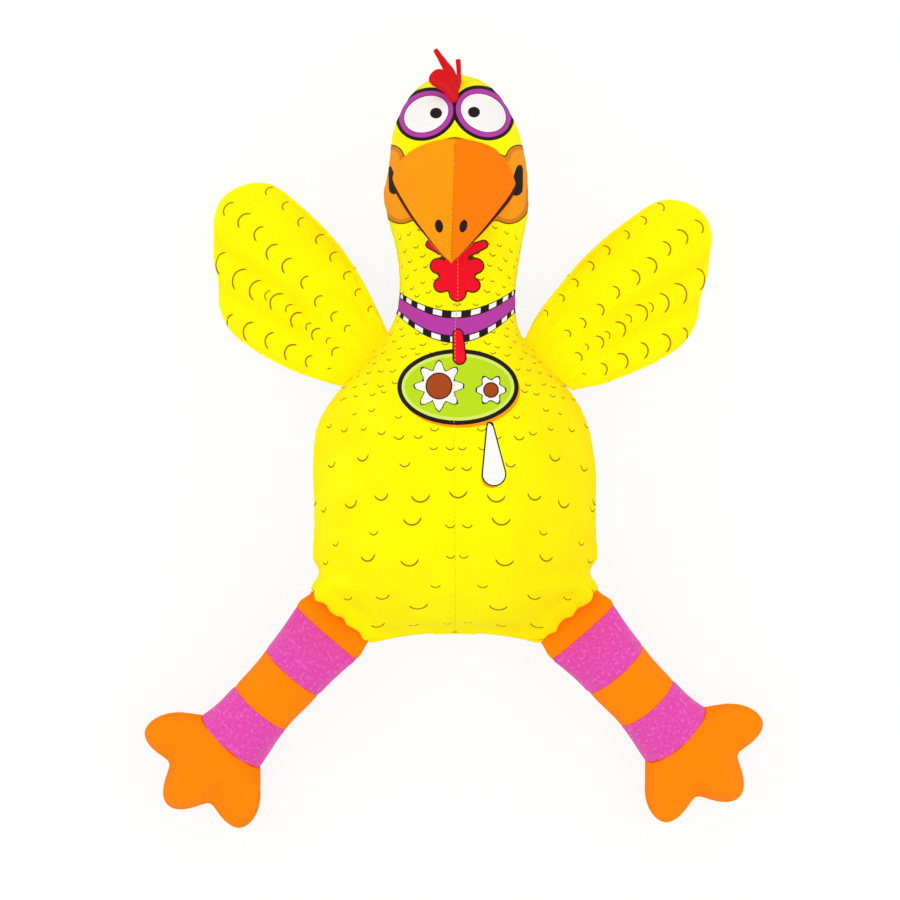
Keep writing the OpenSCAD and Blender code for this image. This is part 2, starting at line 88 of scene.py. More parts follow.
class ChickenSizes(bpy.types.PropertyGroup):
    """Sizes of the stuffed chicken, close to those of its solids."""
    seam_z: length("Seam height", "Height of the side seams above the surface", TORSO_HIGH.z)
    hem_y: length("Hem", "Place of the hem between the legs", TORSO_LOW.y)
    hem_w: length("Hem width", "Width of the hem between the legs", 0.084)
    hip_w: length("Hip width", "Width at the outer ends of the leg seams", TORSO_HIGH.x - TORSO_LOW.x)
    hip_y: length("Hip", "Place of the outer ends of the leg seams", -0.045)
    belly_w: length("Belly width", "Width at the belly", 0.1432)
    belly_y: length("Belly", "Place of the fullest part of the belly", -0.010)
    belly_front: length("Belly bulge", "Bulge in front of the side seams", BELLY_HIGH.z - TORSO_HIGH.z)
    belly_back: length("Back bulge", "Bulge behind the side seams, before it flattens", 0.031)
    shoulder_w: length("Shoulder width", "Width at the lower ends of the wing seams", 0.112)
    shoulder_y: length("Shoulder", "Place of the lower ends of the wing seams", 0.058)
    collar_w: length("Collar width", "Width at the upper ends of the wing seams", 0.069)
    collar_y: length("Collar", "Place of the upper ends of the wing seams", 0.082)
    neck_w: length("Neck width", "Width of the neck at its narrowest", 0.059)
    neck_y: length("Neck", "Place of the narrowest part of the neck", 0.100)
    neck_front: length("Throat bulge", "Bulge of the neck in front", 0.030)
    neck_back: length("Nape bulge", "Bulge of the neck behind", 0.020)
    head_w: length("Head width", "Width of the head", 0.0735)
    head_y: length("Head", "Place of the widest part of the head", 0.150)
    head_front: length("Face bulge", "Bulge of the face in front of the seams", FACE_HIGH.z - TORSO_HIGH.z)
    head_back: length("Head back bulge", "Bulge of the back of the head, before it flattens", 0.029)
    crown_y: length("Crown", "Place of the crown", CROWN_HIGH.y)
    beak_w: length("Beak width", "Width of the beak on the face", 0.062)
    beak_rise: length("Beak height", "Middle of the beak above the widest part of the head", 0.008)
    beak_up: length("Beak top", "Reach of the beak's base upwards", 0.022)
    beak_down: length("Beak bottom", "Reach of the beak's base downwards", 0.017)
    beak_drop: length("Beak drop", "How far the tip hangs below the middle", 0.043)
    beak_reach: length("Beak reach", "How far the tip stands out from the face", 0.034)
    wing_l: length("Wing length", "From the seam to the longest feather", 0.111)
    wing_bow: length("Wing bow", "Bow of the wing's upper edge", 0.0065)
    wing_root: length("Wing root", "Width of the wing at its seam", 0.0375)
    wing_t: length("Wing thickness", "Full thickness of a wing", 0.025)
    wing_scallop: length("Feather notch", "Depth of the notches between the feather tips", 0.0015)
    leg_l: length("Leg length", "From the hip seam to the ankle", 0.082)
    leg_root: length("Leg root", "Width of the leg at its seam", 0.043)
    leg_w: length("Leg width", "Width of the leg at its narrowest", 0.0328)
    leg_t: length("Leg thickness", "Thickness of a leg", 0.031)
    ankle_w: length("Ankle width", "Width of the leg at the ankle", 0.0385)
    foot_r: length("Foot reach", "Mean reach of the toes from the ankle", 0.0385)
    toe_depth: length("Toe depth", "Depth of the notches between the toes", 0.012)
    mark_stroke: length("Feather mark", "Stroke of the printed feather marks", 0.0009)
    weave: length("Weave", "Spacing of the canvas threads as drawn", 0.0011)


class ChickenColours(bpy.types.PropertyGroup):
    """Colours of the chicken's cloths and inks."""
    yellow: colour("Yellow canvas", "Ground of the body and wings", "#fffb00")
    orange: colour("Orange canvas", "Legs and feet", "#ff8c00")
    beak: colour("Beak", "Orange ink of the beak", "#ff9c08")
    cheek: colour("Cheek", "Orange ink of the cheeks", "#f79a14")
    plush: colour("Pink plush", "Stripes on the legs", "#ea4ab4")
    felt: colour("Red felt", "Comb", "#e20f1a")
    red: colour("Red ink", "Wattle and ribbon", "#ee1128")
    purple: colour("Purple ink", "Collar and eye rings", "#b53da4")
    green: colour("Green ink", "Oval tag", "#b9dc1e")
    brown: colour("Brown ink", "Heart of the daisies", "#a4481c")
    white: colour("White ink", "Eyes, petals and squares", "#f3f2ee")
    black: colour("Black ink", "Outlines", "#241c1c")
    mark: colour("Feather ink", "Feather marks", "#a37c00")
    plastic: colour("Squeaker", "Plastic of the squeaker", "#dfe6ea")


CLASSES = [ChickenSizes, ChickenColours]


def listed(cls):
    """Keeps an operator or panel for register()."""
    CLASSES.append(cls)
    return cls


def sizes():
    """Every size in millimetres."""
    group = bpy.context.scene.chicken_sizes
    return SimpleNamespace(**{key: 1000 * getattr(group, key) for key in ChickenSizes.__annotations__})


def tints():
    group = bpy.context.scene.chicken_colours
    return SimpleNamespace(**{key: tuple(getattr(group, key)) for key in ChickenColours.__annotations__})


# Plain sums on arrays of points, in millimetres

def mix(a, b, t):
    """From a to b as t runs from 0 to 1."""
    return a + (b - a) * t


def ease(t):
    """A soft step from 0 to 1."""
    t = np.clip(t, 0, 1)
    return t * t * (3 - 2 * t)


def hump(distance, width):
    """1 at no distance, falling away over the width."""
    return np.exp(-(distance / width) ** 2)


def lumps(points, wave):
    """Uneven filling: a smooth value from about -1 to 1, with swells about one wave apart."""
    ways = np.array([[0.86, 0.36, 0.36], [-0.32, 0.91, 0.27], [0.27, -0.45, 0.85], [0.58, 0.58, -0.58]])
    waves = points @ ways.T * (2 * math.pi / wave) + np.array([0.4, 2.1, 3.9, 5.2])
    return np.sin(waves).sum(-1) / 3


def grid_normals(rings):
    """Directions square out of the cloth at each point of its rings."""
    across = np.roll(rings, -1, 1) - np.roll(rings, 1, 1)
    along = np.gradient(rings, axis=0)
    n = np.cross(across, along)
    return n / np.maximum(np.linalg.norm(n, axis=-1, keepdims=True), 1e-9)


def round_lengths(rings, front):
    """Distance round each ring from the front column, with one more column to close it."""
    steps = np.linalg.norm(np.roll(rings, -1, 1) - rings, axis=-1)
    total = np.concatenate([np.zeros((len(rings), 1)), np.cumsum(steps, 1)], 1)
    return total - total[:, front:front + 1]


def along_lengths(rings, start):
    """Distance along each column from the start row, with one more column to close it."""
    steps = np.linalg.norm(np.diff(rings, axis=0), axis=-1)
    total = np.concatenate([np.zeros((1, rings.shape[1])), np.cumsum(steps, 0)], 0)
    total -= total[start]
    return np.concatenate([total, total[:, :1]], 1)


def smooth_path(points, t):
    """A smooth path through points, where t runs from 0 at the first to 1 at the last."""
    p = np.array(points, float)
    gone = np.concatenate([[0], np.cumsum(np.linalg.norm(np.diff(p, axis=0), axis=1))])
    slope = np.gradient(p, gone, axis=0)
    s = t * gone[-1]
    i = np.clip(np.searchsorted(gone, s, "right") - 1, 0, len(p) - 2)
    h = (gone[i + 1] - gone[i])[..., None]
    k = (s - gone[i])[..., None] / h
    ends = (2 * k ** 3 - 3 * k ** 2 + 1) * p[i] + (3 * k ** 2 - 2 * k ** 3) * p[i + 1]
    return ends + h * ((k ** 3 - 2 * k ** 2 + k) * slope[i] + (k ** 3 - k ** 2) * slope[i + 1])


def turned(points, middle, turn, tip):
    """Points drawn along +X from a seam, tipped down about the seam and turned to where they are sewn on."""
    c, s = math.cos(tip), math.sin(tip)
    x, y, z = points[..., 0] * c + points[..., 2] * s, points[..., 1], points[..., 2] * c - points[..., 0] * s
    c, s = math.cos(turn), math.sin(turn)
    return np.stack([x * c - y * s + middle[0], x * s + y * c + middle[1], z + middle[2]], -1)


SEAM_OFF = 1.0  # from a sewn edge to the middle of its thread
REST_GAP = 0.4  # what a limb keeps clear of the surface
LEAST_Z = 0.3  # the lowest that a limb's skin lies


def sewn(z, low, high, reach, half_t):
    """Middle, turn and tip of a limb whose seam runs from low to high, and that rests on its thick place."""
    turn = math.atan2(low[0] - high[0], high[1] - low[1])
    middle = [(low[0] + high[0]) / 2 + SEAM_OFF * math.cos(turn),
              (low[1] + high[1]) / 2 + SEAM_OFF * math.sin(turn), z.seam_z]
    tip = math.asin((z.seam_z - REST_GAP) / math.hypot(reach, half_t)) - math.atan2(half_t, reach)
    return middle, turn, tip


def put(points, side):
    """A limb on its side: the left one is a mirror image, with its columns turned to keep the outside out."""
    return points if side == "right" else (points * np.array([-1, 1, 1]))[:, ::-1]


# Meshes

def in_mark(places, marks):
    """Places on the flat cloth, across and up from the middle of their marks."""
    d = places - marks[..., :2]
    cos, sin = np.cos(marks[..., 3]), np.sin(marks[..., 3])
    return d[..., 0] * cos + d[..., 1] * sin, d[..., 1] * cos - d[..., 0] * sin


def nearest_mark(places, marks):
    """Which mark has its stroke nearest to each place."""
    found = []
    for part in np.array_split(places, 80):
        across, up = in_mark(part[:, None], marks[None])
        ring = np.abs(np.hypot(across, up) - marks[:, 2])
        ends = np.hypot(np.abs(across) - marks[:, 2], up)
        found.append(np.where(up < 0, ring, ends).argmin(1))
    return np.concatenate(found)


def skin(name, rings, material, u=None, v=None, facts=None, marks=None, ends=(False, False), levels=1):
    """A cloth skin from rings of points, rows x columns x 3, closed round its columns.

    u and v lay the cloth out flat in millimetres. facts are values at each point that prints are drawn from.
    marks are feather marks: rows of place across, place along, radius and turn on the flat cloth."""
    rows, cols = rings.shape[:2]
    r, c = (i.ravel() for i in np.meshgrid(np.arange(rows - 1), np.arange(cols), indexing="ij"))
    corner_r, corner_c = np.stack([r, r, r + 1, r + 1], 1), np.stack([c, c + 1, c + 1, c], 1)
    faces = (corner_r * cols + corner_c % cols).tolist()
    if ends[0]:
        faces.append(list(range(cols))[::-1])
    if ends[1]:
        faces.append(list(range((rows - 1) * cols, rows * cols)))
    mesh = bpy.data.meshes.new(name)
    mesh.from_pydata((rings.reshape(-1, 3) * 0.001).tolist(), [], faces)
    spare = sum(ends) * cols
    if u is not None:
        flat = np.stack([u[corner_r, corner_c], v[corner_r, corner_c]], -1)
        layer = mesh.uv_layers.new(name="cloth")
        layer.data.foreach_set("uv", np.concatenate([flat.ravel(), np.zeros(2 * spare)]).astype(np.float32))
        if marks is not None:
            chosen = marks[nearest_mark(flat.mean(1), marks)]
            radius = np.broadcast_to(chosen[:, None, 2], flat.shape[:2])
            local = np.stack([*in_mark(flat, chosen[:, None]), radius], -1)
            held = mesh.attributes.new("marks", "FLOAT_VECTOR", "CORNER")
            values = np.concatenate([local.reshape(-1, 3), np.full((spare, 3), 99.0)])
            held.data.foreach_set("vector", values.ravel().astype(np.float32))
    for key, values in (facts or {}).items():
        held = mesh.attributes.new(key, "FLOAT", "POINT")
        held.data.foreach_set("value", values.ravel().astype(np.float32))
    return dressed(name, mesh, material, levels)


def dressed(name, mesh, material, levels=1):
    """An object in the scene with its points merged, smooth shading, a material and a subdivision."""
    bm = bmesh.new()
    bm.from_mesh(mesh)
    bmesh.ops.remove_doubles(bm, verts=bm.verts, dist=2e-5)
    bm.to_mesh(mesh)
    bm.free()
    mesh.polygons.foreach_set("use_smooth", [True] * len(mesh.polygons))
    mesh.materials.append(material)
    obj = bpy.data.objects.new(name, mesh)
    bpy.context.scene.collection.objects.link(obj)
    if levels:
        subdivision = obj.modifiers.new("Subdivision", "SUBSURF")
        subdivision.levels = subdivision.render_levels = levels
        subdivision.uv_smooth = "NONE"
    return obj


def stuffed(rings, held, pressure=4.0, cap=4.0, frames=20):
    """Rings after the cloth is filled from inside: a cloth simulation on every second row and column.

    held is 1 where the cloth is sewn down and 0 where it is free."""
    small = (rings - grid_normals(rings) * 1.5 * (1 - held[..., None]))[::2, ::2]
    obj = skin("stuffing", small, None, levels=0)
    shape = small.shape[:2]
    start = np.array([v.co for v in obj.data.vertices]) * 1000
    order = np.linalg.norm(small.reshape(-1, 1, 3) - start[None], axis=-1).argmin(1)
    group = obj.vertex_groups.new(name="sewn")
    for index, weight in zip(order.tolist(), held[::2, ::2].ravel().tolist()):
        if weight > 0:
            group.add([index], weight, "REPLACE")
    cloth = obj.modifiers.new("Cloth", "CLOTH")
    cloth.settings.quality = 5
    cloth.settings.mass = 0.2
    cloth.settings.tension_stiffness = cloth.settings.compression_stiffness = 12
    cloth.settings.shear_stiffness = 6
    cloth.settings.bending_stiffness = 0.4
    cloth.settings.use_pressure = True
    cloth.settings.uniform_pressure_force = pressure
    cloth.settings.vertex_group_mass = "sewn"
    cloth.settings.effector_weights.gravity = 0
    cloth.point_cache.frame_start, cloth.point_cache.frame_end = 1, frames
    for number in range(1, frames + 1):
        bpy.context.scene.frame_set(number)
    ready = obj.evaluated_get(bpy.context.evaluated_depsgraph_get())
    moved = np.array([v.co for v in ready.data.vertices]) * 1000 - start
    far = np.linalg.norm(moved, axis=-1, keepdims=True)
    moved *= np.minimum(1, cap / np.maximum(far, 1e-9))
    moved = moved[order].reshape(*shape, 3) + small - rings[::2, ::2]
    mesh = obj.data
    bpy.data.objects.remove(obj)
    bpy.data.meshes.remove(mesh)
    bpy.context.scene.frame_set(1)
    full = np.zeros_like(rings)
    full[::2, ::2] = moved
    full[::2, 1::2] = (moved + np.roll(moved, -1, 1)) / 2
    full[1::2] = (full[:-1:2] + full[2::2]) / 2
    return rings + full


def stitches(name, path, pitch, long, thick, material):
    """A row of small thread stitches along a path of points."""
    gone = np.concatenate([[0], np.cumsum(np.linalg.norm(np.diff(path, axis=0), axis=1))])
    bm = bmesh.new()
    for at in np.arange(pitch / 2, gone[-1], pitch):
        ends = [np.array([np.interp(place, gone, path[:, i]) for i in range(3)])
                for place in (at - long / 2, at + long / 2)]
        along = (ends[1] - ends[0]) / max(np.linalg.norm(ends[1] - ends[0]), 1e-9)
        side = np.cross(along, [0, 0, 1])
        side = side / max(np.linalg.norm(side), 1e-9)
        up = np.cross(side, along)
        rings = []
        for t, r in ((0, 0.45), (0.25, 0.95), (0.75, 0.95), (1, 0.45)):
            centre = mix(ends[0], ends[1], t)
            ring = [centre + thick / 2 * r * (side * math.cos(a) + up * math.sin(a))
                    for a in np.arange(6) * math.pi / 3]
            rings.append([bm.verts.new(point * 0.001) for point in ring])
        for a, b in zip(rings, rings[1:]):
            for i in range(6):
                bm.faces.new((a[i], a[(i + 1) % 6], b[(i + 1) % 6], b[i]))
        bm.faces.new(rings[0][::-1])
        bm.faces.new(rings[-1])
    bmesh.ops.recalc_face_normals(bm, faces=bm.faces)
    mesh = bpy.data.meshes.new(name)
    bm.to_mesh(mesh)
    bm.free()
    return dressed(name, mesh, material, 0)


# Materials

def add_node(tree, kind, links=None, out=None, **settings):
    """A shader node with its settings and its inputs, set or linked. Gives one output, or the node."""
    made = tree.nodes.new("ShaderNode" + kind)
    for key, value in settings.items():
        setattr(made, key, value)
    for key, value in (links or {}).items():
        if isinstance(value, bpy.types.NodeSocket):
            tree.links.new(value, made.inputs[key])
        else:
            made.inputs[key].default_value = value
    return made if out is None else made.outputs[out]


def surface(name, **settings):
    """A new material, its tree and its shader, with constant values set on the shader's own sockets."""
    material = bpy.data.materials.new(name)
    material.use_nodes = True
    tree = material.node_tree
    shader = tree.nodes["Principled BSDF"]
    for key, value in settings.items():
        shader.inputs[key.replace("_", " ")].default_value = value
    return material, tree, shader


def linked(tree, shader, **sources):
    """Feeds the shader's own sockets from other nodes."""
    for key, source in sources.items():
        tree.links.new(source, shader.inputs[key.replace("_", " ")])


def shaded(tint, *parts):
    """A colour with its red, green and blue each taken down to a part of what they were."""
    return tuple(c * part for c, part in zip(tint[:3], parts)) + (1.0,)


def paled(tint, part):
    """A colour brought part of the way to white."""
    return tuple(mix(c, 1, part) for c in tint[:3]) + (1.0,)


def canvas(name, ground, prints=(), marks=None, collar=False):
    """Printed cotton canvas: a plain weave under flat bright ink, with a soft pale edge at grazing light."""
    z = sizes()
    material, tree, shader = surface(name, Roughness=0.9, Sheen_Weight=0.02, Sheen_Roughness=0.5,
                                     Specular_IOR_Level=0.08)
    flat = add_node(tree, "UVMap", out=0, uv_map="cloth")
    across, along, _ = add_node(tree, "SeparateXYZ", {0: flat}).outputs
    # The real threads are about 0.4 mm apart, too fine to show, so they are drawn coarser
    threads = []
    for way in (across, along):
        waves = add_node(tree, "Math", {0: way, 1: 2 * math.pi / z.weave}, 0, operation="MULTIPLY")
        threads.append(add_node(tree, "Math", {0: waves}, 0, operation="SINE"))
    weave = add_node(tree, "Math", {0: threads[0], 1: threads[1]}, 0, operation="MULTIPLY")
    # Ink soaks in a little unevenly, in patches about 25 mm across
    patchy = add_node(tree, "TexNoise", {"Vector": flat, "Scale": 1 / 25, "Detail": 3.0}, 0)
    soaked = add_node(tree, "MapRange", {0: patchy, 1: 0.35, 2: 0.7}, 0)
    deep = shaded(ground, 0.97, 0.90, 0.9)
    ink = add_node(tree, "Mix", {0: soaked, 6: ground, 7: deep}, 2, data_type="RGBA")
    between = add_node(tree, "Math", {0: weave, 1: 0.12, 2: 0.12}, 0, operation="MULTIPLY_ADD")
    ink = add_node(tree, "Mix", {0: between, 6: ink, 7: deep}, 2, data_type="RGBA")
    # Painted shade: the ink turns deeper and warmer where shade falls, at seams, creases and folds and on the
    # sides turned from the lamps
    gathered = add_node(tree, "Attribute", out="Fac", attribute_name="gathered")
    ink = add_node(tree, "Mix", {0: gathered, 6: ink, 7: shaded(ground, 1.0, 0.74, 0.5)}, 2, data_type="RGBA")
    if marks is not None:
        ink = feather_print(tree, ink, marks, z.mark_stroke / 2)
    if collar:
        ink = collar_print(tree, ink, across)
    for key, edge, tint in prints:
        distance = add_node(tree, "Attribute", out="Fac", attribute_name=key)
        inside = add_node(tree, "Math", {0: distance, 1: edge}, 0, operation="LESS_THAN")
        ink = add_node(tree, "Mix", {0: inside, 6: ink, 7: tint}, 2, data_type="RGBA")
    bump = add_node(tree, "Bump", {"Height": weave, "Strength": 0.35, "Distance": 0.00012}, 0)
    linked(tree, shader, Base_Color=ink, Normal=bump)
    return material


def feather_print(tree, ink, tint, half):
    """Feather marks: each is the lower part of a ring, drawn with a brush that lifts at both ends."""
    local = add_node(tree, "Attribute", out="Vector", attribute_name="marks")
    side, up, radius = add_node(tree, "SeparateXYZ", {0: local}).outputs
    plane = add_node(tree, "CombineXYZ", {0: side, 1: up}, 0)
    ring = add_node(tree, "VectorMath", {0: plane}, "Value", operation="LENGTH")
    off = add_node(tree, "Math", {0: ring, 1: radius}, 0, operation="SUBTRACT")
    off = add_node(tree, "Math", {0: off}, 0, operation="ABSOLUTE")
    down = add_node(tree, "Math", {0: radius, 1: -1.0}, 0, operation="MULTIPLY")
    low = add_node(tree, "Math", {0: up, 1: down}, 0, operation="DIVIDE")
    # Marks under 4.5 mm in radius have a finer stroke
    firm = add_node(tree, "MapRange", {0: radius, 1: 1.5, 2: 4.5, 3: half * 0.6, 4: half}, 0)
    brush = add_node(tree, "MapRange", {0: low, 1: 0.22, 2: 0.5, 3: 0.0, 4: firm}, 0)
    stroke = add_node(tree, "Math", {0: off, 1: brush}, 0, operation="LESS_THAN")
    return add_node(tree, "Mix", {0: stroke, 6: ink, 7: tint}, 2, data_type="RGBA")


SQUARE = 4.8  # width of a black or white square on the collar


def collar_print(tree, ink, across):
    """A purple collar with a row of black and white squares along each edge."""
    t = tints()
    height = add_node(tree, "Attribute", out="Fac", attribute_name="collar")
    stripe = add_node(tree, "ValToRGB", {0: height})
    rows = add_node(tree, "ValToRGB", {0: height})
    clear = t.black[:3] + (0.0,)
    off, on = (0, 0, 0, 1), (1, 1, 1, 1)
    bands = [(0.0, clear), (0.001, t.black), (0.24, t.purple), (0.76, t.black), (0.999, clear)]
    squares = [(0.0, off), (0.035, on), (0.20, off), (0.80, on), (0.965, off)]
    for ramp, stops in ((stripe.color_ramp, bands), (rows.color_ramp, squares)):
        ramp.interpolation = "CONSTANT"
        for position, tint in stops:
            stop = ramp.elements.new(position)
            stop.color = tint
        ramp.elements.remove(ramp.elements[0])
        ramp.elements.remove(ramp.elements[-1])
    moved = add_node(tree, "Math", {0: across, 1: SQUARE / 2}, 0, operation="ADD")
    pairs = add_node(tree, "Math", {0: moved, 1: 2 * SQUARE}, 0, operation="DIVIDE")
    pair = add_node(tree, "Math", {0: pairs}, 0, operation="FRACT")
    white = add_node(tree, "Math", {0: pair, 1: 0.5}, 0, operation="LESS_THAN")
    check = add_node(tree, "Mix", {0: white, 6: t.black, 7: t.white}, 2, data_type="RGBA")
    band = add_node(tree, "Mix", {0: rows.outputs[0], 6: stripe.outputs[0], 7: check}, 2, data_type="RGBA")
    return add_node(tree, "Mix", {0: stripe.outputs[1], 6: ink, 7: band}, 2, data_type="RGBA")


def plush():
    """Short-pile polyester plush: a nap about 1 mm deep that mottles and pales where it catches light."""
    tint = tints().plush
    material, tree, shader = surface("pink short-pile plush", Roughness=0.95, Sheen_Weight=0.25,
                                     Sheen_Roughness=0.4, Specular_IOR_Level=0.15)
    flat = add_node(tree, "UVMap", out=0, uv_map="cloth")
    # Tufts are about 1.3 mm across, drawn coarser than the real pile, and pale fibre ends stand among them. The
    # tufts vary in tone, and the hollows between them are painted darker, a painted shade
    tufts = add_node(tree, "TexNoise", {"Vector": flat, "Scale": 1 / 1.3, "Detail": 3.0, "Roughness": 0.7}, 0)
    flecks = add_node(tree, "TexNoise", {"Vector": flat, "Scale": 1 / 1.8, "Detail": 2.0}, 0)
    tops = add_node(tree, "MapRange", {0: tufts, 1: 0.3, 2: 0.55}, 0)
    ends = add_node(tree, "MapRange", {0: flecks, 1: 0.54, 2: 0.72, 4: 0.75}, 0)
    ink = add_node(tree, "Mix", {0: tops, 6: shaded(tint, 0.8, 0.8, 0.8), 7: tint}, 2, data_type="RGBA")
    ink = add_node(tree, "Mix", {0: ends, 6: ink, 7: paled(tint, 0.16)}, 2, data_type="RGBA")
    bump = add_node(tree, "Bump", {"Height": tufts, "Strength": 0.8, "Distance": 0.0008}, 0)
    linked(tree, shader, Base_Color=ink, Normal=bump)
    return material


def felt():
    """Pressed wool felt: matt, with short tangled fibres that leave a faint grain and a fuzzy edge."""
    tint = tints().felt
    material, tree, shader = surface("red pressed felt", Roughness=0.95, Sheen_Weight=0.06, Sheen_Roughness=0.6,
                                     Specular_IOR_Level=0.05)
    where = add_node(tree, "TexCoord", out="Object")
    # Tangled fibres about 1 mm long, varying in tone, with the hollows of the grain painted darker, a painted
    # shade
    grain = add_node(tree, "TexNoise", {"Vector": where, "Scale": 1000.0, "Detail": 4.0, "Roughness": 0.7}, 0)
    tops = add_node(tree, "MapRange", {0: grain, 1: 0.35, 2: 0.6}, 0)
    ink = add_node(tree, "Mix", {0: tops, 6: shaded(tint, 0.78, 0.78, 0.78), 7: tint}, 2, data_type="RGBA")
    bump = add_node(tree, "Bump", {"Height": grain, "Strength": 0.5, "Distance": 0.0004}, 0)
    linked(tree, shader, Base_Color=ink, Normal=bump)
    return material


def thread(name, tint):
    """Spun polyester sewing thread: a low lustre broken by its twist, one turn in about two millimetres."""
    material, tree, shader = surface(name, Roughness=0.6, Specular_IOR_Level=0.3)
    where = add_node(tree, "TexCoord", out="Object")
    twist = add_node(tree, "TexWave", {"Vector": where, "Scale": 300.0}, "Fac", bands_direction="DIAGONAL")
    # The grooves of the twist are painted darker: painted shade
    ink = add_node(tree, "Mix", {0: twist, 6: shaded(tint, 0.75, 0.75, 0.75), 7: tint}, 2, data_type="RGBA")
    bump = add_node(tree, "Bump", {"Height": twist, "Strength": 0.4, "Distance": 0.0001}, 0)
    linked(tree, shader, Base_Color=ink, Normal=bump)
    return material


def moulded_plastic():
    """Injection-moulded polyethylene: waxy, slightly cloudy, with a faint ripple from the mould."""
    tint = tints().plastic
    material, tree, shader = surface("moulded polyethylene", Roughness=0.38, IOR=1.51)
    where = add_node(tree, "TexCoord", out="Object")
    # Flow ripples about 4 mm across
    ripple = add_node(tree, "TexNoise", {"Vector": where, "Scale": 250.0, "Detail": 2.0}, 0)
    ink = add_node(tree, "Mix", {0: ripple, 6: tint, 7: shaded(tint, 0.9, 0.9, 0.9)}, 2, data_type="RGBA")
    bump = add_node(tree, "Bump", {"Height": ripple, "Strength": 0.2, "Distance": 0.0002}, 0)
    linked(tree, shader, Base_Color=ink, Normal=bump)
    return material


def reed_film():
    """Thin polyester film: smooth and glossy, faintly milky, with rolling marks along it."""
    tint = tints().plastic
    material, tree, shader = surface("polyester reed film", Roughness=0.15, IOR=1.6)
    where = add_node(tree, "TexCoord", out="Object")
    # Rolling marks about 1.5 mm apart
    rolled = add_node(tree, "TexWave", {"Vector": where, "Scale": 200.0, "Distortion": 1.0}, "Fac")
    ink = add_node(tree, "Mix", {0: rolled, 6: tint, 7: paled(tint, 0.4)}, 2, data_type="RGBA")
    linked(tree, shader, Base_Color=ink)
    return material


# Body: torso, neck and head in one skin

QUARTER = 44  # columns from a side seam to the middle of the front or back
LEFT_SEAM, FRONT, RIGHT_SEAM = QUARTER, 2 * QUARTER, 3 * QUARTER
ZONE_ROWS = (16, 18, 36, 14, 12, 34, 44)
BELLY_ROW = sum(ZONE_ROWS[:2])


def stations():
    """Rows of the body, counted in zones from the hem, 0, to the crown, 7."""
    rows = [zone + np.arange(n) / n for zone, n in enumerate(ZONE_ROWS)]
    return np.concatenate(rows + [[7]]) * (6.985 / 7)


def bulge(z, zone, x, y, belly, neck, head):
    """How far the cloth stands out from the side seams, from its bulges at the belly, neck and head."""
    below = belly * (1 - ((z.belly_y - y) / (z.belly_y - z.hem_y)).clip(0) ** 2.2)
    chest = mix(belly, neck, ease((y - z.belly_y) / (z.neck_y - z.belly_y)))
    throat = mix(neck, head, ease(x))
    dome = head * np.cos(x * math.pi / 2)
    return np.select([zone == 6, zone == 5, y < z.belly_y], [dome, throat, below], chest)


def body_rings(z):
    """Rings from the middle of the back, past the left seam, across the front and back again."""
    s = stations()[:, None]
    zone = np.minimum(s.astype(int), 6)
    x = s - zone
    levels = np.array([z.hem_y, z.hip_y, z.belly_y, z.shoulder_y, z.collar_y, z.neck_y, z.head_y, z.crown_y])
    widths = np.array([z.hem_w, z.hip_w, z.belly_w, z.shoulder_w, z.collar_w, z.neck_w, z.head_w, 0])
    slow = np.choose(zone, [x, ease(x), x ** 4.5, x, 1 - (1 - x) ** 2, ease(x ** 1.25), x])
    y = np.where(zone < 6, mix(levels[zone], levels[zone + 1], x),
                 mix(z.head_y, z.crown_y, np.sin(x * math.pi / 2)))
    dome = np.cos(x * math.pi / 2) ** 0.8
    a = np.where(zone < 6, mix(widths[zone], widths[zone + 1], slow), z.head_w * dome) / 2
    a = a - 4.4 * hump(y + 36, 4.5)  # the waist is drawn in just above the hips
    front = bulge(z, zone, x, y, z.belly_front, z.neck_front, z.head_front)
    back = bulge(z, zone, x, y, z.belly_back, z.neck_back, z.head_back)
    q = np.arange(QUARTER) / QUARTER
    k = np.concatenate([-q, q - 1, q, 1 - q])[None]
    side = np.repeat([-1, 1, 1, -1], QUARTER)[None]
    h = np.maximum(np.where(side > 0, front, back), 1e-3)
    half, r = 2 * np.arctan2(h, a), (a * a + h * h) / (2 * h)
    rise = z.seam_z + side * (r * np.cos(half * k) - r + h)
    return np.stack([r * np.sin(half * k), np.broadcast_to(y, rise.shape), np.maximum(rise, 0)], -1)


def limb_seams(z):
    """Where the wings and the legs are sewn on, and how each limb lies."""
    wing_low, wing_high = (z.shoulder_w / 2, z.shoulder_y), (z.collar_w / 2, z.collar_y)
    leg_low, leg_high = (z.hem_w / 2, z.hem_y), (z.hip_w / 2, z.hip_y)
    wing = sewn(z, wing_low, wing_high, 0.7 * z.wing_l, 0.48 * z.wing_t)
    leg = sewn(z, leg_low, leg_high, z.leg_l + 0.45 * z.foot_r, z.leg_t / 2)
    return SimpleNamespace(wing_low=wing_low, wing_high=wing_high, wing=wing,
                           leg_low=leg_low, leg_high=leg_high, leg=leg)


def from_seams(u):
    """Distance round the body from the nearer side seam."""
    left, right = u[:, LEFT_SEAM, None], u[:, RIGHT_SEAM, None]
    return np.minimum(np.abs(u - left), np.abs(u - right))


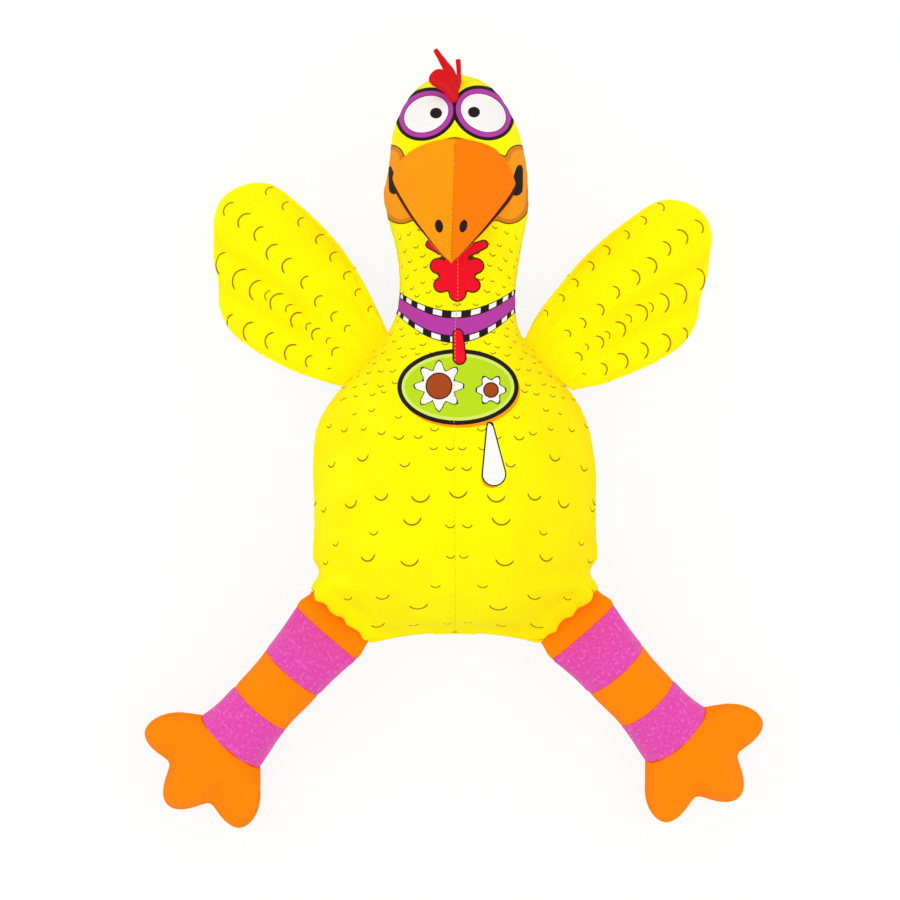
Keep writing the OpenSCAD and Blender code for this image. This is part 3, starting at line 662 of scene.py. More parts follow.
def body_shape(z):
    """The stuffed body with its seams drawn in, its filling lumpy and its belly sagging over the legs."""
    rings = body_rings(z)
    held = np.zeros(rings.shape[:2])
    held[:2] = 1
    held[-3:] = 1
    held[:, [LEFT_SEAM, RIGHT_SEAM]] = 1
    held[:, FRONT] = 0.4
    rings = stuffed(rings, held)
    u, v = (flat[:, :-1] for flat in (round_lengths(rings, FRONT), along_lengths(rings, BELLY_ROW)))
    from_side = from_seams(u)
    y = rings[..., 1]
    at_leg = ease((z.hip_y + 3 - y) / 6)
    at_wing = ease((y - z.shoulder_y + 3) / 6) * ease((z.collar_y + 3 - y) / 6)
    off = -0.8 * hump(u, 1.5) - 0.7 * hump(from_side, 1.8) * (1 - at_leg) * (1 - at_wing)
    off += 0.22 * np.sin(v * 2 * math.pi / 6.8) * np.exp(-np.abs(u) / 5)
    puckers = np.sin(v * 2 * math.pi / 7.6 + 0.06 * v) * np.exp(-from_side / 7)
    off += (0.18 + 0.6 * at_wing) * puckers * (1 - at_leg)
    filled = ease((z.crown_y - y) / 40) * ease((y - z.hem_y) / 12)
    off += filled * (0.8 * lumps(rings, 52) + 0.3 * lumps(rings, 21))
    rings = rings + grid_normals(rings) * off[..., None]
    # The full belly sags over the thin top of each leg in a rippled edge
    middle, turn, _ = limb_seams(z).leg
    side = np.sign(rings[..., 0])
    out_from, up_from = np.abs(rings[..., 0]) - middle[0], rings[..., 1] - middle[1]
    along = out_from * -math.sin(turn) + up_from * math.cos(turn)
    seam = math.hypot((z.hip_w - z.hem_w) / 2, z.hip_y - z.hem_y)
    corner = hump(along + seam / 2, 9)  # at the inner end of the seam the fold is tighter and hangs further
    ahead = np.clip((rings[..., 2] - z.seam_z) / mix(4, 1.2, corner), 0, 1)
    fold = np.sin(np.clip(from_side / mix(18, 11, corner), 0, 1) * math.pi) ** 2 * (1 + 0.5 * corner)
    fold *= ease((seam / 2 + 5 - along) / 9) * ease((seam / 2 + 14 + along) / 12)
    ripple = 1.1 * np.sin(along * 2 * math.pi / 10.5 + side) + 0.7 * np.sin(along * 2 * math.pi / 6.1)
    sag = ahead * fold * (5.0 + ripple)
    rings[..., 0] += side * sag * math.cos(turn)
    rings[..., 1] += sag * math.sin(turn)
    arch = 5 * ease((z.hem_y + 14 - y) / 14) * np.clip(1 - (rings[..., 0] / (z.hem_w / 2)) ** 2, 0, 1)
    rings[..., 1] += arch
    rings[..., 2] = np.maximum(rings[..., 2], 0.05)
    # The neck leans a little to the right, the crown and the belly to the left
    rings[..., 0] += 1.3 * ease((y - z.collar_y) / 20) - 1.4 * ease((y - z.head_y - 15) / 45)
    rings[..., 0] -= 0.5 * ease((y + 30) / 30) * ease((70 - y) / 20)
    # and its left cheek is the fuller one
    rings[..., 0] -= 1.6 * hump(y - z.head_y - 3, 7) * ease(-rings[..., 0] / 30)
    return rings


PHOTO_H, PHOTO_X, PHOTO_Y = 1600.0, -2.5, 25.0  # where the camera stands above the toy


def from_front(z, points):
    """Places on the level of the side seams, as the camera sees them, so that motifs sit as seen from there."""
    grow = (PHOTO_H - z.seam_z) / (PHOTO_H - points[..., 2])
    return PHOTO_X + (points[..., 0] - PHOTO_X) * grow, PHOTO_Y + (points[..., 1] - PHOTO_Y) * grow


def oval(x, y, cx, cy, a, b, tilt=0):
    """Distance outside an oval, negative inside it."""
    c, s = math.cos(math.radians(tilt)), math.sin(math.radians(tilt))
    p, q = (c * (x - cx) + s * (y - cy)), (c * (y - cy) - s * (x - cx))
    k = np.hypot(p / a, q / b)
    return k * (k - 1) / np.maximum(np.hypot(p / a ** 2, q / b ** 2), 1e-6)


def bar(x, y, x0, y0, x1, y1, r0, r1):
    """Distance outside a rounded bar that runs between two points and changes from radius r0 to r1."""
    t = np.clip(((x - x0) * (x1 - x0) + (y - y0) * (y1 - y0)) / ((x1 - x0) ** 2 + (y1 - y0) ** 2), 0, 1)
    return np.hypot(x - mix(x0, x1, t), y - mix(y0, y1, t)) - mix(r0, r1, t)


def daisy(x, y, cx, cy, r, petals):
    """Distance outside a flower, negative inside it."""
    angle = np.arctan2(y - cy, x - cx)
    return np.hypot(x - cx, y - cy) - r * (0.8 + 0.2 * np.cos(petals * angle))


def body_prints(z, rings, u):
    """Distances in millimetres from each printed motif on the front cloths, negative inside it."""
    x, y = from_front(z, rings)
    wide = np.abs(x)
    behind = np.where(rings[..., 2] < z.seam_z - 0.5, 90.0, 0.0)
    brow = 181 - 9.5 * (np.minimum(wide, 25) / 25) ** 1.4
    face = np.maximum(np.maximum(y - brow, wide - 31), 140 - y)
    cheek = np.minimum(oval(wide, y, 27, 150.5, 10.5, 12), bar(wide, y, 31, 152, 32, 171, 6.5, 6.2))
    petals = np.minimum(daisy(x, y, -8, 57, 12.5, 8), daisy(x, y, 18, 55, 7.5, 6))
    hearts = np.minimum(np.hypot(x + 8, y - 57) - 6.2, np.hypot(x - 18, y - 55) - 3.4)
    middle = x - 1.0
    wattle = [oval(middle, y, 0, 113, 8.6, 9.5), oval(middle, y, 0.3, 103.6, 3.8, 3.8)]
    wattle += [oval(np.abs(middle), y, *lobe) for lobe in ((9.2, 117, 3.8, 3.4), (7.9, 107.4, 3.3, 3.1))]
    wattle.append(bar(np.abs(middle), y, 4, 124, 13.4, 127.8, 2.6, 1.7))
    facts = {
        "eyes": np.minimum(oval(x, y, -14.4, 193, 11.5, 8.6, 25), oval(x, y, 14.2, 193.6, 11.8, 8.9, -27)),
        "pupils": np.minimum(oval(x, y, -9.5, 193.5, 3.1, 2.7), oval(x, y, 9.5, 194, 3.1, 2.7)),
        "cheek": np.minimum(face, cheek),
        "mouth": bar(wide, y, 32.4, 166, 30.6, 155.5, 0.9, 2.6) - np.where(x > 0, 0.8, 0),
        "wattle": np.minimum.reduce(wattle),
        "ribbon": bar(x, y, 1.5, 83, 2.3, 71, 2.2, 2.9),
        "shadow": np.minimum(oval(x, y, 2.6, 54.8, 30, 18.7), bar(x, y, 16.5, 36, 18.5, 11.5, 1.2, 5.6)),
        "tag": oval(x, y, 1.5, 56.5, 30.4, 19),
        "petals": petals,
        "hearts": hearts,
        "drop": bar(x, y, 17.5, 37.5, 19.5, 13, 1.2, 5.6),
    }
    facts = {key: values + behind for key, values in facts.items()}
    t = np.where(rings[..., 2] < z.seam_z, 1, np.clip(wide / (z.neck_w / 2), 0, 1) ** 2)
    round_back = ease((z.seam_z - rings[..., 2]) / z.neck_back)
    low, high = mix(78.4, 93.2, t) + 3 * round_back, mix(94.7, 105.2, t) + 3 * round_back
    facts["collar"] = (y - low) / (high - low)
    seam = from_seams(u[:, :-1])
    at_wing = hump(y - (z.shoulder_y + z.collar_y) / 2, 16)
    # Painted shade: deeper and warmer ink at the side seams, more so by the wings, towards the right side,
    # which is turned from the key lamp, and along the hem
    right_side_shade = 0.4 * ease((x - 8) / 50) * ease((z.neck_y + 10 - y) / 20)
    facts["gathered"] = mix(0.35, 0.75, at_wing) * np.exp(-seam / mix(7, 13, at_wing)) + right_side_shade
    facts["gathered"] += 0.3 * np.exp((z.hem_y - y) / 12)
    return facts


# Feather marks on half the belly: distance from the middle seam, height and width, in millimetres
BELLY_MARKS = [
    (63.5, 15.5, 6.5), (48, 19, 7.5), (27, 16.5, 5.5), (12, 25, 4), (3, 25.5, 4), (5, 15, 5), (67.5, -6, 6),
    (54, -4, 8.5), (38.5, 0, 8), (19.5, 0, 9.5), (0, 2, 9), (22.5, -12, 9.5), (42.5, -17.5, 5),
    (5, -14.5, 5), (61.5, -23, 5), (45, -30, 8.5), (24, -33, 9.5), (3.5, -30, 4.5), (66.5, -32, 5),
    (11.5, -44.5, 5), (38, -50, 7.5), (55.5, -51.5, 5), (20.5, -57, 9.5), (40, -65, 7.5), (22, -64.5, 5),
    (5, -63, 4), (58, 50, 3), (43.5, 44.5, 4), (51.5, 42.5, 3), (30, 41.5, 3.5), (65, 37, 4.5), (57, 34, 5),
    (47, 35.5, 3.5), (38, 32, 4.5), (30, 30.5, 5.5), (20.5, 31.5, 4.5), (11, 34, 4.5),
]


def body_marks(z, rings, u, v):
    """Feather marks on the flat cloth: the belly's own, rows that shrink towards the neck, and the back's."""
    rng = np.random.default_rng(7)
    x, y = from_front(z, rings)
    ahead = rings[..., 2] >= z.seam_z
    found = []
    for across, up, width in BELLY_MARKS:
        for side in ((-1, 1) if across else (1,)):
            gap = np.where(ahead, np.hypot(x - 1.5 - side * across, y - up - width / 2), 1e9)
            row, col = np.unravel_index(gap.argmin(), gap.shape)
            found.append((u[row, col], v[row, col], width / 2, side * across * -0.004))
    for back in (False, True):
        height, row = (53.0, 0) if not back else (z.hem_y + 8, 0)
        while height < (138 if not back else 196):
            near = ease((height - 20) / 60)
            pitch, width = mix(20 if back else 11, 8.6, near), mix(8.5 if back else 4.4, 3.3, near)
            index = int(np.abs(rings[:, 0 if back else FRONT, 1] - height).argmin())
            edge = u[index, RIGHT_SEAM]
            reach = (u[index, -1] - edge) if back else edge
            start = pitch * (0.25 if row % 2 else 0.75)
            for place in np.arange(start, reach - 1, pitch):
                shift = rng.uniform(-0.22, 0.22, 2) * pitch
                place = abs((u[index, -1] - place if back else place) + shift[0])
                for side in (-1, 1):
                    size = width / 2 * rng.uniform(0.75, 1.15)
                    found.append((side * place, v[index, 0 if back else FRONT] + shift[1] * 0.6, size,
                                  rng.uniform(-0.25, 0.25)))
            height, row = height + mix(10.5 if back else 7.0, 6.2, near), row + 1
    return np.array(found)


@listed
class CHICKEN_OT_body(bpy.types.Operator):
    """Torso, neck and head: one stuffed skin of printed canvas, sewn down the front and along the sides"""
    bl_idname = "chicken.body"
    bl_label = "Body"

    def execute(self, context):
        z, t = sizes(), tints()
        rings = body_shape(z)
        u, v = round_lengths(rings, FRONT), along_lengths(rings, BELLY_ROW)
        line = hex_linear("#5a2a00")
        prints = [
            ("cheek", 0.55, line), ("cheek", 0.0, hex_linear("#d9801a")), ("cheek", -2.0, t.cheek),
            ("mouth", 0.0, t.black),
            ("eyes", 4.2, t.black), ("eyes", 2.5, t.purple), ("eyes", 0.35, hex_linear("#6a1f66")),
            ("eyes", 0.0, t.white), ("pupils", 0.0, t.black),
            ("wattle", 0.8, line), ("wattle", 0.0, t.red),
            ("shadow", 0.0, hex_linear("#ff9d00")),
            ("tag", 0.0, t.black), ("tag", -2.2, hex_linear("#d3e86a")), ("tag", -3.8, t.green),
            ("petals", 0.7, t.black), ("petals", 0.0, t.white),
            ("hearts", 0.6, t.black), ("hearts", 0.0, t.brown),
            ("drop", 0.7, t.black), ("drop", 0.0, t.white),
            ("ribbon", 0.7, t.black), ("ribbon", 0.0, t.red),
        ]
        cloth = canvas("yellow printed canvas", t.yellow, prints, t.mark, collar=True)
        obj = skin("body_skin", rings, cloth, u, v, body_prints(z, rings, u), body_marks(z, rings, u, v),
                   ends=(False, True))
        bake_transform(obj)
        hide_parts("torso_front_left", "torso_front_right", "torso_back", "torso_filling_front",
                    "torso_filling_back", "neck_sleeve", "neck_filling", "head_front_left", "head_front_right",
                    "head_back", "head_filling")
        seam = rings[1:np.abs(rings[:, FRONT, 1] - 138).argmin(), FRONT] + np.array([0, 0, 0.05])
        yellow = thread("yellow sewing thread", hex_linear("#e2c200"))
        row = stitches("front_seam_stitches", seam, 1.9, 1.0, 0.42, yellow)
        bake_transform(row)
        return {"FINISHED"}


# Beak

def face_z(z, x, y):
    """Height of the face above the surface."""
    up = np.where(y > z.head_y, np.sqrt(np.clip(1 - ((y - z.head_y) / (z.crown_y - z.head_y)) ** 2, 0, 1)), 1)
    low = ease((y - z.neck_y) / (z.head_y - z.neck_y))
    a = np.where(y > z.head_y, z.head_w / 2 * up, mix(z.neck_w, z.head_w, low) / 2)
    h = np.where(y > z.head_y, z.head_front * up, mix(z.neck_front, z.head_front, low))
    r = (a * a + h * h) / (2 * h)
    return z.seam_z + np.sqrt(np.maximum(r * r - x * x, 0)) - r + h


def beak_rings(z, rows=33, cols=64):
    """Rings from the beak's base on the face to its tip; columns from below, round by the right."""
    angle = np.arange(cols) * 2 * math.pi / cols - math.pi / 2
    x = np.linspace(0, 1, rows)[:, None] ** 0.9
    reach = np.where(np.sin(angle) > 0, z.beak_up - 2.5, z.beak_down)
    bx, by = z.beak_w / 2 * np.cos(angle), z.head_y + z.beak_rise + reach * np.sin(angle)
    base = np.stack([bx, by, face_z(z, bx, by) - 0.6], -1)
    middle = np.array([0, z.head_y + z.beak_rise, float(face_z(z, 0, z.head_y + z.beak_rise)) + 0.6])
    tip = middle + np.array([-2.0, -z.beak_drop - 2, z.beak_reach])
    shrink = 1 - x ** 1.22
    shrink = np.where(x > 0.9, shrink * np.sqrt(np.clip((1.001 - x) / 0.1, 0, 1)), shrink)
    return mix(middle, tip, x[..., None] * 0.985) + (base - middle)[None] * shrink[..., None], angle


@listed
class CHICKEN_OT_beak(bpy.types.Operator):
    """Beak: a plump orange cone in two halves, sewn down the middle, with nostrils and a mouth line"""
    bl_idname = "chicken.beak"
    bl_label = "Beak"

    def execute(self, context):
        z, t = sizes(), tints()
        rings, angle = beak_rings(z)
        top = rings.shape[1] // 2
        u, v = round_lengths(rings, top), along_lengths(rings, 0)
        du = np.abs(u[:, :-1])
        puckers = np.sin(v[:, :-1] * 2 * math.pi / 5.5) * np.exp(-du / 4)
        off = -0.55 * hump(du, 1.2) + 0.12 * puckers + 0.35 * lumps(rings, 30)
        fade = np.linspace(0, 1, len(rings))[:, None]
        rings = rings + grid_normals(rings) * (off * ease(fade / 0.1) * ease((1 - fade) / 0.08))[..., None]
        x, y = from_front(z, rings)
        edge = np.degrees(np.arctan2(np.sin(angle), np.abs(np.cos(angle))))[None] + 0 * x
        ahead = np.where(edge > -20, 0.0, 90.0)
        nostrils = oval(x, y, -8, 137, 2.1, 3.4, 8), oval(x, y, 4.2, 137, 2.0, 3.3, -14)
        facts = {
            "nostril": np.minimum(*nostrils) + ahead,
            "under": edge + 14,
            "lips": np.abs(edge + 6) - mix(9.0, 5.0, np.linspace(0, 1, len(x))[:, None]),
            "right_half": rings[:, top:top + 1, 0] - rings[..., 0],
        }
        # Painted shade: the right half of the beak is a deeper orange, turned from the key lamp
        prints = [("right_half", 0.0, hex_linear("#ff7c00")), ("under", 0.0, hex_linear("#f08a10")),
                  ("lips", 0.0, hex_linear("#4a1c08")), ("nostril", 0.0, t.black)]
        cloth = canvas("orange printed canvas", t.beak, prints)
        obj = skin("beak_skin", rings, cloth, u, v, facts, ends=(False, True))
        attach(obj, "head")
        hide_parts("beak_left", "beak_right", "beak_filling")
        seam = rings[1:-2, top] + np.array([0, 0, 0.1])
        orange = thread("orange sewing thread", hex_linear("#a85400"))
        row = stitches("beak_stitches", seam, 1.9, 0.95, 0.42, orange)
        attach(row, "head")
        return {"FINISHED"}


# Comb

ASKEW = 2.4  # how far the comb's back end sits to the right of its front end
COMB_SINK = 0.5  # how far the comb's edge is tucked into the seam of the crown
COMB_ENDS = (16, 4)  # how far below the crown the comb's seam starts in front and ends behind


def on_head(context, points, out):
    """Where lines through the points, along out, meet the skin of the head."""
    head, graph = bpy.data.objects["body_skin"], context.evaluated_depsgraph_get()
    found = []
    for point in points:
        hit, place, _, _ = head.ray_cast((point + 15 * out) * 0.001, -out, depsgraph=graph)
        if not hit:
            raise RuntimeError("The comb's seam misses the head")
        found.append(np.array(place) * 1000)
    return np.array(found)


def felt_finger(bm, a, b, ra, rb, half_t=0.95):
    """A flat rounded bar of felt from a to b in the comb's own plane."""
    a, b = np.array(a), np.array(b)
    way = math.atan2(b[1] - a[1], b[0] - a[0])
    turns = [(a, ra, w) for w in np.linspace(0.5, 1.5, 13)] + [(b, rb, w) for w in np.linspace(-0.5, 0.5, 13)]
    edge = [p + r * np.array([math.cos(way + w * math.pi), math.sin(way + w * math.pi)]) for p, r, w in turns]
    rings = [[bm.verts.new((p[0], p[1], h)) for p in edge] for h in (-half_t, half_t)]
    n = len(edge)
    for i in range(n):
        bm.faces.new((rings[0][i], rings[0][(i + 1) % n], rings[1][(i + 1) % n], rings[1][i]))
    bm.faces.new(rings[0][::-1])
    bm.faces.new(rings[1])


@listed
class CHICKEN_OT_comb(bpy.types.Operator):
    """Comb: three fingers of red felt, sewn along the crown and leaning to the left"""
    bl_idname = "chicken.comb"
    bl_label = "Comb"

    def execute(self, context):
        z = sizes()
        rise = z.crown_y - z.head_y
        ends = [z.crown_y - below for below in COMB_ENDS]
        angles = [math.asin((y - z.head_y) / rise) for y in ends]
        front, back = (np.array([0, y, z.seam_z + z.head_front * math.cos(a)]) for y, a in zip(ends, angles))
        run = float(np.linalg.norm(back - front))
        tilt = math.atan2(front[2] - back[2], back[1] - front[1])
        out = np.array([0, math.sin(tilt), math.cos(tilt)])
        crest = np.array([0, z.head_y + rise * math.sin(sum(angles) / 2),
                          z.seam_z + z.head_front * math.cos(sum(angles) / 2)])
        start = front + ((crest - front) @ out + 1.4) * out
        bm = bmesh.new()
        # The front lobe from two bars, the tall finger, the short one and the strip along the seam
        felt_finger(bm, (3.2, 2.0), (6.4, 10.8), 3.0, 5.0)
        felt_finger(bm, (5.0, 2.0), (10.5, 6.0), 4.0, 3.0)
        felt_finger(bm, (run / 2 + 1, 2.0), (run / 2 + 10.6, 18.4), 2.4, 0.85)
        felt_finger(bm, (run * 0.9, 2.0), (run * 1.16, 7.2), 1.8, 0.95)
        felt_finger(bm, (2.4, 2.0), (run, 2.0), 2.2, 2.2)
        bmesh.ops.recalc_face_normals(bm, faces=bm.faces)
        mesh = bpy.data.meshes.new("comb_felt")
        bm.to_mesh(mesh)
        bm.free()
        shaped = bpy.data.objects.new("comb_blank", mesh)
        context.scene.collection.objects.link(shaped)
        remesh = shaped.modifiers.new("Remesh", "REMESH")
        remesh.mode, remesh.voxel_size = "VOXEL", 0.45
        smooth = shaped.modifiers.new("Smooth", "SMOOTH")
        smooth.iterations = 7
        ready = bpy.data.meshes.new_from_object(shaped.evaluated_get(context.evaluated_depsgraph_get()))
        bpy.data.objects.remove(shaped)
        p = np.array([v.co for v in ready.vertices])
        # The felt is limp: the front lobe flops furthest, the tall finger less and the short one stands up
        fan = np.degrees(np.arctan2(p[:, 1] + 3, p[:, 0] - 0.35 * run))
        lean = np.radians(np.interp(fan, [36, 54, 92], [4, 38, 60]))
        y = p[:, 1] * np.cos(lean) + p[:, 2] * np.sin(lean)
        h = p[:, 2] * np.cos(lean) - p[:, 1] * np.sin(lean) + ASKEW * np.clip(p[:, 0] / run, 0, 1)
        c, s = math.cos(tilt), math.sin(tilt)
        world = np.stack([h, p[:, 0] * c + y * s, y * c - p[:, 0] * s], -1) + start
        # The foot of the felt is drawn down to the skin, and the fingers stay where they are
        along = np.linspace(-3, run + 2, 16)
        path = start + along[:, None] / run * (back - front + [ASKEW, 0, 0])
        seam = on_head(context, path, out)
        drop = np.interp(p[:, 0], along, (seam - path) @ out) - COMB_SINK
        world += (drop * ease((7 - p[:, 1]) / 6))[:, None] * out
        ready.vertices.foreach_set("co", (world * 0.001).ravel())
        obj = dressed("comb_felt", ready, felt(), 0)
        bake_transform(obj)
        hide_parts("comb")
        red = thread("red sewing thread", hex_linear("#c40d18"))
        row = stitches("comb_stitches", seam[2:-1] + 0.3 * out, 2.2, 1.7, 0.9, red)
        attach(row, "head")
        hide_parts("comb_thread")
        return {"FINISHED"}


# Wings

# The wing's end from the upper edge round the feather tips to the lower edge, in parts of its length
WING_END = ((0.794, 0.329), (0.862, 0.316), (0.930, 0.270), (0.996, 0.130), (0.872, -0.086), (0.775, -0.162),
            (0.666, -0.260), (0.539, -0.310), (0.397, -0.301))
WING_CREASES = (0.47, 0.66)  # where the creases between the feathers meet the end
WING_COLS = 48  # columns across one cloth of a wing
BACK_CLOTH = 200.0  # where a wing's back cloth lies beside its front one when both are laid flat


def creases(j, width):
    """1 along the creases between the feathers, falling away over the width."""
    return sum(hump(j - place, width) for place in WING_CREASES)


def wing_rings(z):
    """Rows from inside the body to the end of a wing along +X; columns across the front, then the back."""
    rounding = 0.9 + 0.1 * np.sin(np.linspace(0, math.pi / 2, 11))
    x = np.concatenate([np.linspace(-0.06, 0.9, 49)[:-1], rounding])[:, None]
    q = (1 - np.cos(np.linspace(0, math.pi, WING_COLS + 1))) / 2
    j = np.concatenate([q[:-1], q[:0:-1]])[None]
    side = np.where(np.arange(2 * WING_COLS) <= WING_COLS, 1, -1)[None]
    end = smooth_path(WING_END, j) * z.wing_l
    px = mix(SEAM_OFF, end[..., 0] - z.wing_scallop * creases(j, 0.05), x)
    py = mix(z.wing_root / 2 * (1 - 2 * j), end[..., 1], x) + z.wing_bow * (1 - 1.3 * j) * np.sin(math.pi * x)
    full = mix(1.0, z.wing_t / 2, ease(x / 0.5)) * (1 - 0.34 * creases(j, 0.035) * ease((x - 0.12) / 0.3))
    edge = np.clip(1 - (2 * j - 1) ** 2, 0, 1) ** 0.72
    tail = np.clip(1 - np.abs(x) ** 5, 0, 1) ** 0.6
    return np.stack([px, py, side * full * edge * tail], -1), x, j


def wing_cloth(rings):
    """The front and back cloths of a wing laid flat side by side, each seen from its outside."""
    x, y = (np.concatenate([rings[..., i], rings[:, :1, i]], 1) for i in (0, 1))
    front = np.arange(2 * WING_COLS + 1) <= WING_COLS
    return np.where(front, -y, BACK_CLOTH + y), x


# Rows of marks on a wing: place across at the end and at the seam, and width in millimetres
WING_MARKS = ((0.105, 0.07, 6.4), (0.29, 0.40, 8.8), (0.53, 0.64, 11.2), (0.79, 0.85, 9.4))
# How far each wing has turned about its seam and slid along it, and how wide it lies: the right one slumps
WING_LIE = {"left": (0.0, 0.0, 1.0), "right": (math.radians(-5), -2.8, 0.945)}


def wing_marks(u, v, x, j):
    """Rows of arcs along the feathers, open to the body, about 11 mm apart and smaller towards the body."""
    rng = np.random.default_rng(11)
    found = []
    for first, inset in ((1, 0.0), (WING_COLS + 1, 0.15)):
        cols = np.arange(first, first + WING_COLS - 1)
        for at_end, at_seam, width in WING_MARKS:
            reach = 0.94
            while reach > 0.12:
                row = int(np.abs(x[:, 0] - reach).argmin())
                col = cols[np.abs(j[0, cols] - mix(mix(at_seam, at_end, reach), 0.5, inset)).argmin()]
                size = width / 2 * mix(0.5, 1.0, ease(reach / 0.6)) * rng.uniform(0.85, 1.1)
                way = math.pi - 0.22 + rng.uniform(-0.2, 0.2)
                found.append((u[row, col], v[row, col] - size * 0.6, size, way))
                step = mix(7, 11.2, ease(reach / 0.5)) * rng.uniform(0.92, 1.08)
                if at_end == WING_MARKS[2][0] and 0.2 < reach < 0.75:
                    step *= 1.15
                    small = found[-1]
                    found.append((small[0] - 1.5, small[1] - step * 0.5, size * 0.5, small[3]))
                reach -= step / math.hypot(u[-3, col] - u[4, col], v[-3, col] - v[4, col])
    return np.array(found)


@listed
class CHICKEN_OT_wings(bpy.types.Operator):
    """Wings: two flat cushions of printed canvas, each with three feather lobes"""
    bl_idname = "chicken.wings"
    bl_label = "Wings"

    def execute(self, context):
        z, t = sizes(), tints()
        seams = limb_seams(z)
        middle, turn, tip = seams.wing
        rings, x, j = wing_rings(z)
        held = np.zeros(rings.shape[:2])
        held[:5] = 1
        held[-1] = 1
        held[:, [0, WING_COLS]] = 1
        held = np.maximum(held, 0.5 * np.clip(creases(j, 0.03), 0, 1) * ease((x - 0.15) / 0.3))
        rings = stuffed(rings, held, pressure=3.0, cap=2.5)
        u, v = round_lengths(rings, 0), along_lengths(rings, 0)
        edge = np.minimum(np.abs(u[:, :-1]), np.abs(u[:, :-1] - u[:, WING_COLS:WING_COLS + 1]))
        off = 0.35 * np.sin(v[:, :-1] * 2 * math.pi / 7.2) * np.exp(-edge / 6)
        off += 0.5 * lumps(rings, 40) + 0.2 * lumps(rings, 17)
        off += 0.8 * np.sin(j * 2 * math.pi * 5.5) * hump(x - 0.08, 0.14)
        off *= ease((x + 0.02) / 0.06) * ease((1 - x) / 0.05) * ease(edge / 3)
        u, v = wing_cloth(rings)
        rings = rings + grid_normals(rings) * off[..., None]
        marks = wing_marks(u, v, x, j)
        # Painted shade along the creases between the feathers, at the root and in a patch by the upper edge
        gathered = 0.45 * creases(j, 0.03) * ease((x - 0.1) / 0.4) + 0.5 * np.exp(-x.clip(0) / 0.07)
        gathered += 0.35 * hump(j, 0.12) * hump(x - 0.5, 0.25)
        cloth = canvas("yellow wing canvas", t.yellow, (), hex_linear("#b87400"))
        for side, sign in SIDES.items():
            lie, slide, wide = WING_LIE[side]
            c, s = np.cos(lie * ease(x / 0.3)), np.sin(lie * ease(x / 0.3))
            across = rings[..., 1] * mix(1, wide, ease(x / 0.6))
            down, up = rings[..., 0] * c - across * s, rings[..., 0] * s + across * c + slide
            slumped = np.stack([down, up, rings[..., 2]], -1)
            place, flat = put(turned(slumped, middle, turn, tip), side), (u, v)
            place[..., 2] = np.maximum(place[..., 2], LEAST_Z)
            facts = {"gathered": gathered}
            if side == "left":
                place, flat = np.roll(place, 1, 1), (u[:, ::-1], v[:, ::-1])
                facts = {"gathered": np.roll(gathered[:, ::-1], 1, 1)}
            obj = skin(f"{side}_wing_skin", place, cloth, *flat, facts, marks, ends=(True, False))
            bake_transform(obj)
            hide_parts(*(f"{side}_wing_{part}" for part in ("front", "back", "filling")))
            thread_row(f"{side}_wing", seams.wing_low, seams.wing_high, sign, z.seam_z, hex_linear("#d8ae00"))
        return {"FINISHED"}


def thread_row(limb, low, high, sign, height, tint):
    """The stitches that hold a limb on, along its seam."""
    path = np.array([[sign * mix(low[0], high[0], k), mix(low[1], high[1], k), height]
                     for k in np.linspace(0.03, 0.97, 20)])
    row = stitches(f"{limb}_stitches", path, 2.6, 1.9, 0.8, thread(f"{limb} sewing thread", tint))
    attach(row, "torso")
    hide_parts(f"{limb}_thread")


# Legs and feet

# Bands of a leg and where each ends, in parts of its length
BANDS = (("thigh_band", 0.12), ("upper_plush_band", 0.427), ("shin_band", 0.727), ("lower_plush_band", 1.0))
LEG_COLS = 48  # columns round a leg
FOOT_COLS = 56  # columns across one cloth of a foot
LEG_START = -5.0  # where a leg's first band starts, inside the body
ANKLE_BOW = 3.2  # how far the ankle seam bows towards the toes in front
ANKLE_HEM = 1.5  # how far the last band's edge turns in to meet the foot
ROOT_GATHER = 2.8  # how far each edge of a leg is drawn in where it is sewn on


def bowed(z, x, front):
    """Seams across the leg bow towards the toes in front, more so further down."""
    return x + ANKLE_BOW * (x / z.leg_l).clip(0) ** 2 * front


# How each leg lies: turned out from square to its seam, in degrees, pulled longer, in millimetres, how wide,
# and how far its front has slid back up the leg, in millimetres
LEG_LIE = {"left": (0.0, 1.4, 1.0, 2.4), "right": (0.6, -2.6, 1.03, 0.0)}


def lying(z, points, side):
    """A leg's points as the leg lies, turned a little at the hip and pulled longer or pushed shorter."""
    turn, pull, wide, slid = LEG_LIE[side]
    x, y, height = points[..., 0], points[..., 1] * wide, points[..., 2]
    lie = math.radians(turn) * ease(x / 20)
    down, before_toes = np.clip(x / z.leg_l, 0, 1), np.clip((z.leg_l + z.foot_r - x) / z.foot_r, 0, 1)
    x = x + down * (pull - slid * before_toes * np.clip(height / (z.leg_t / 2), 0, 1))
    return np.stack([x * np.cos(lie) - y * np.sin(lie), x * np.sin(lie) + y * np.cos(lie), height], -1)


def leg_rings(z, first, last, rows):
    """Rings of a leg that lies along +X, from first to last."""
    x = np.linspace(first, last, rows)[:, None]
    narrow = 0.64 * z.leg_l
    to_root = (z.leg_root - z.leg_w) / 2 * (1 - x / narrow).clip(0, 1) ** 2
    to_ankle = (z.ankle_w - z.leg_w) / 2 * ((x - narrow) / (z.leg_l - narrow)).clip(0) ** 2
    half_w = z.leg_w / 2 + np.where(x < narrow, to_root, to_ankle) - ROOT_GATHER * ease((8 - x) / 10)
    half_t = mix(1.0, z.leg_t / 2, ease(x / 27))
    a = np.arange(LEG_COLS)[None] * 2 * math.pi / LEG_COLS
    rings = np.stack([bowed(z, x, np.sin(a).clip(0)), half_w * np.cos(a), half_t * np.sin(a)], -1)
    return rings, x, a


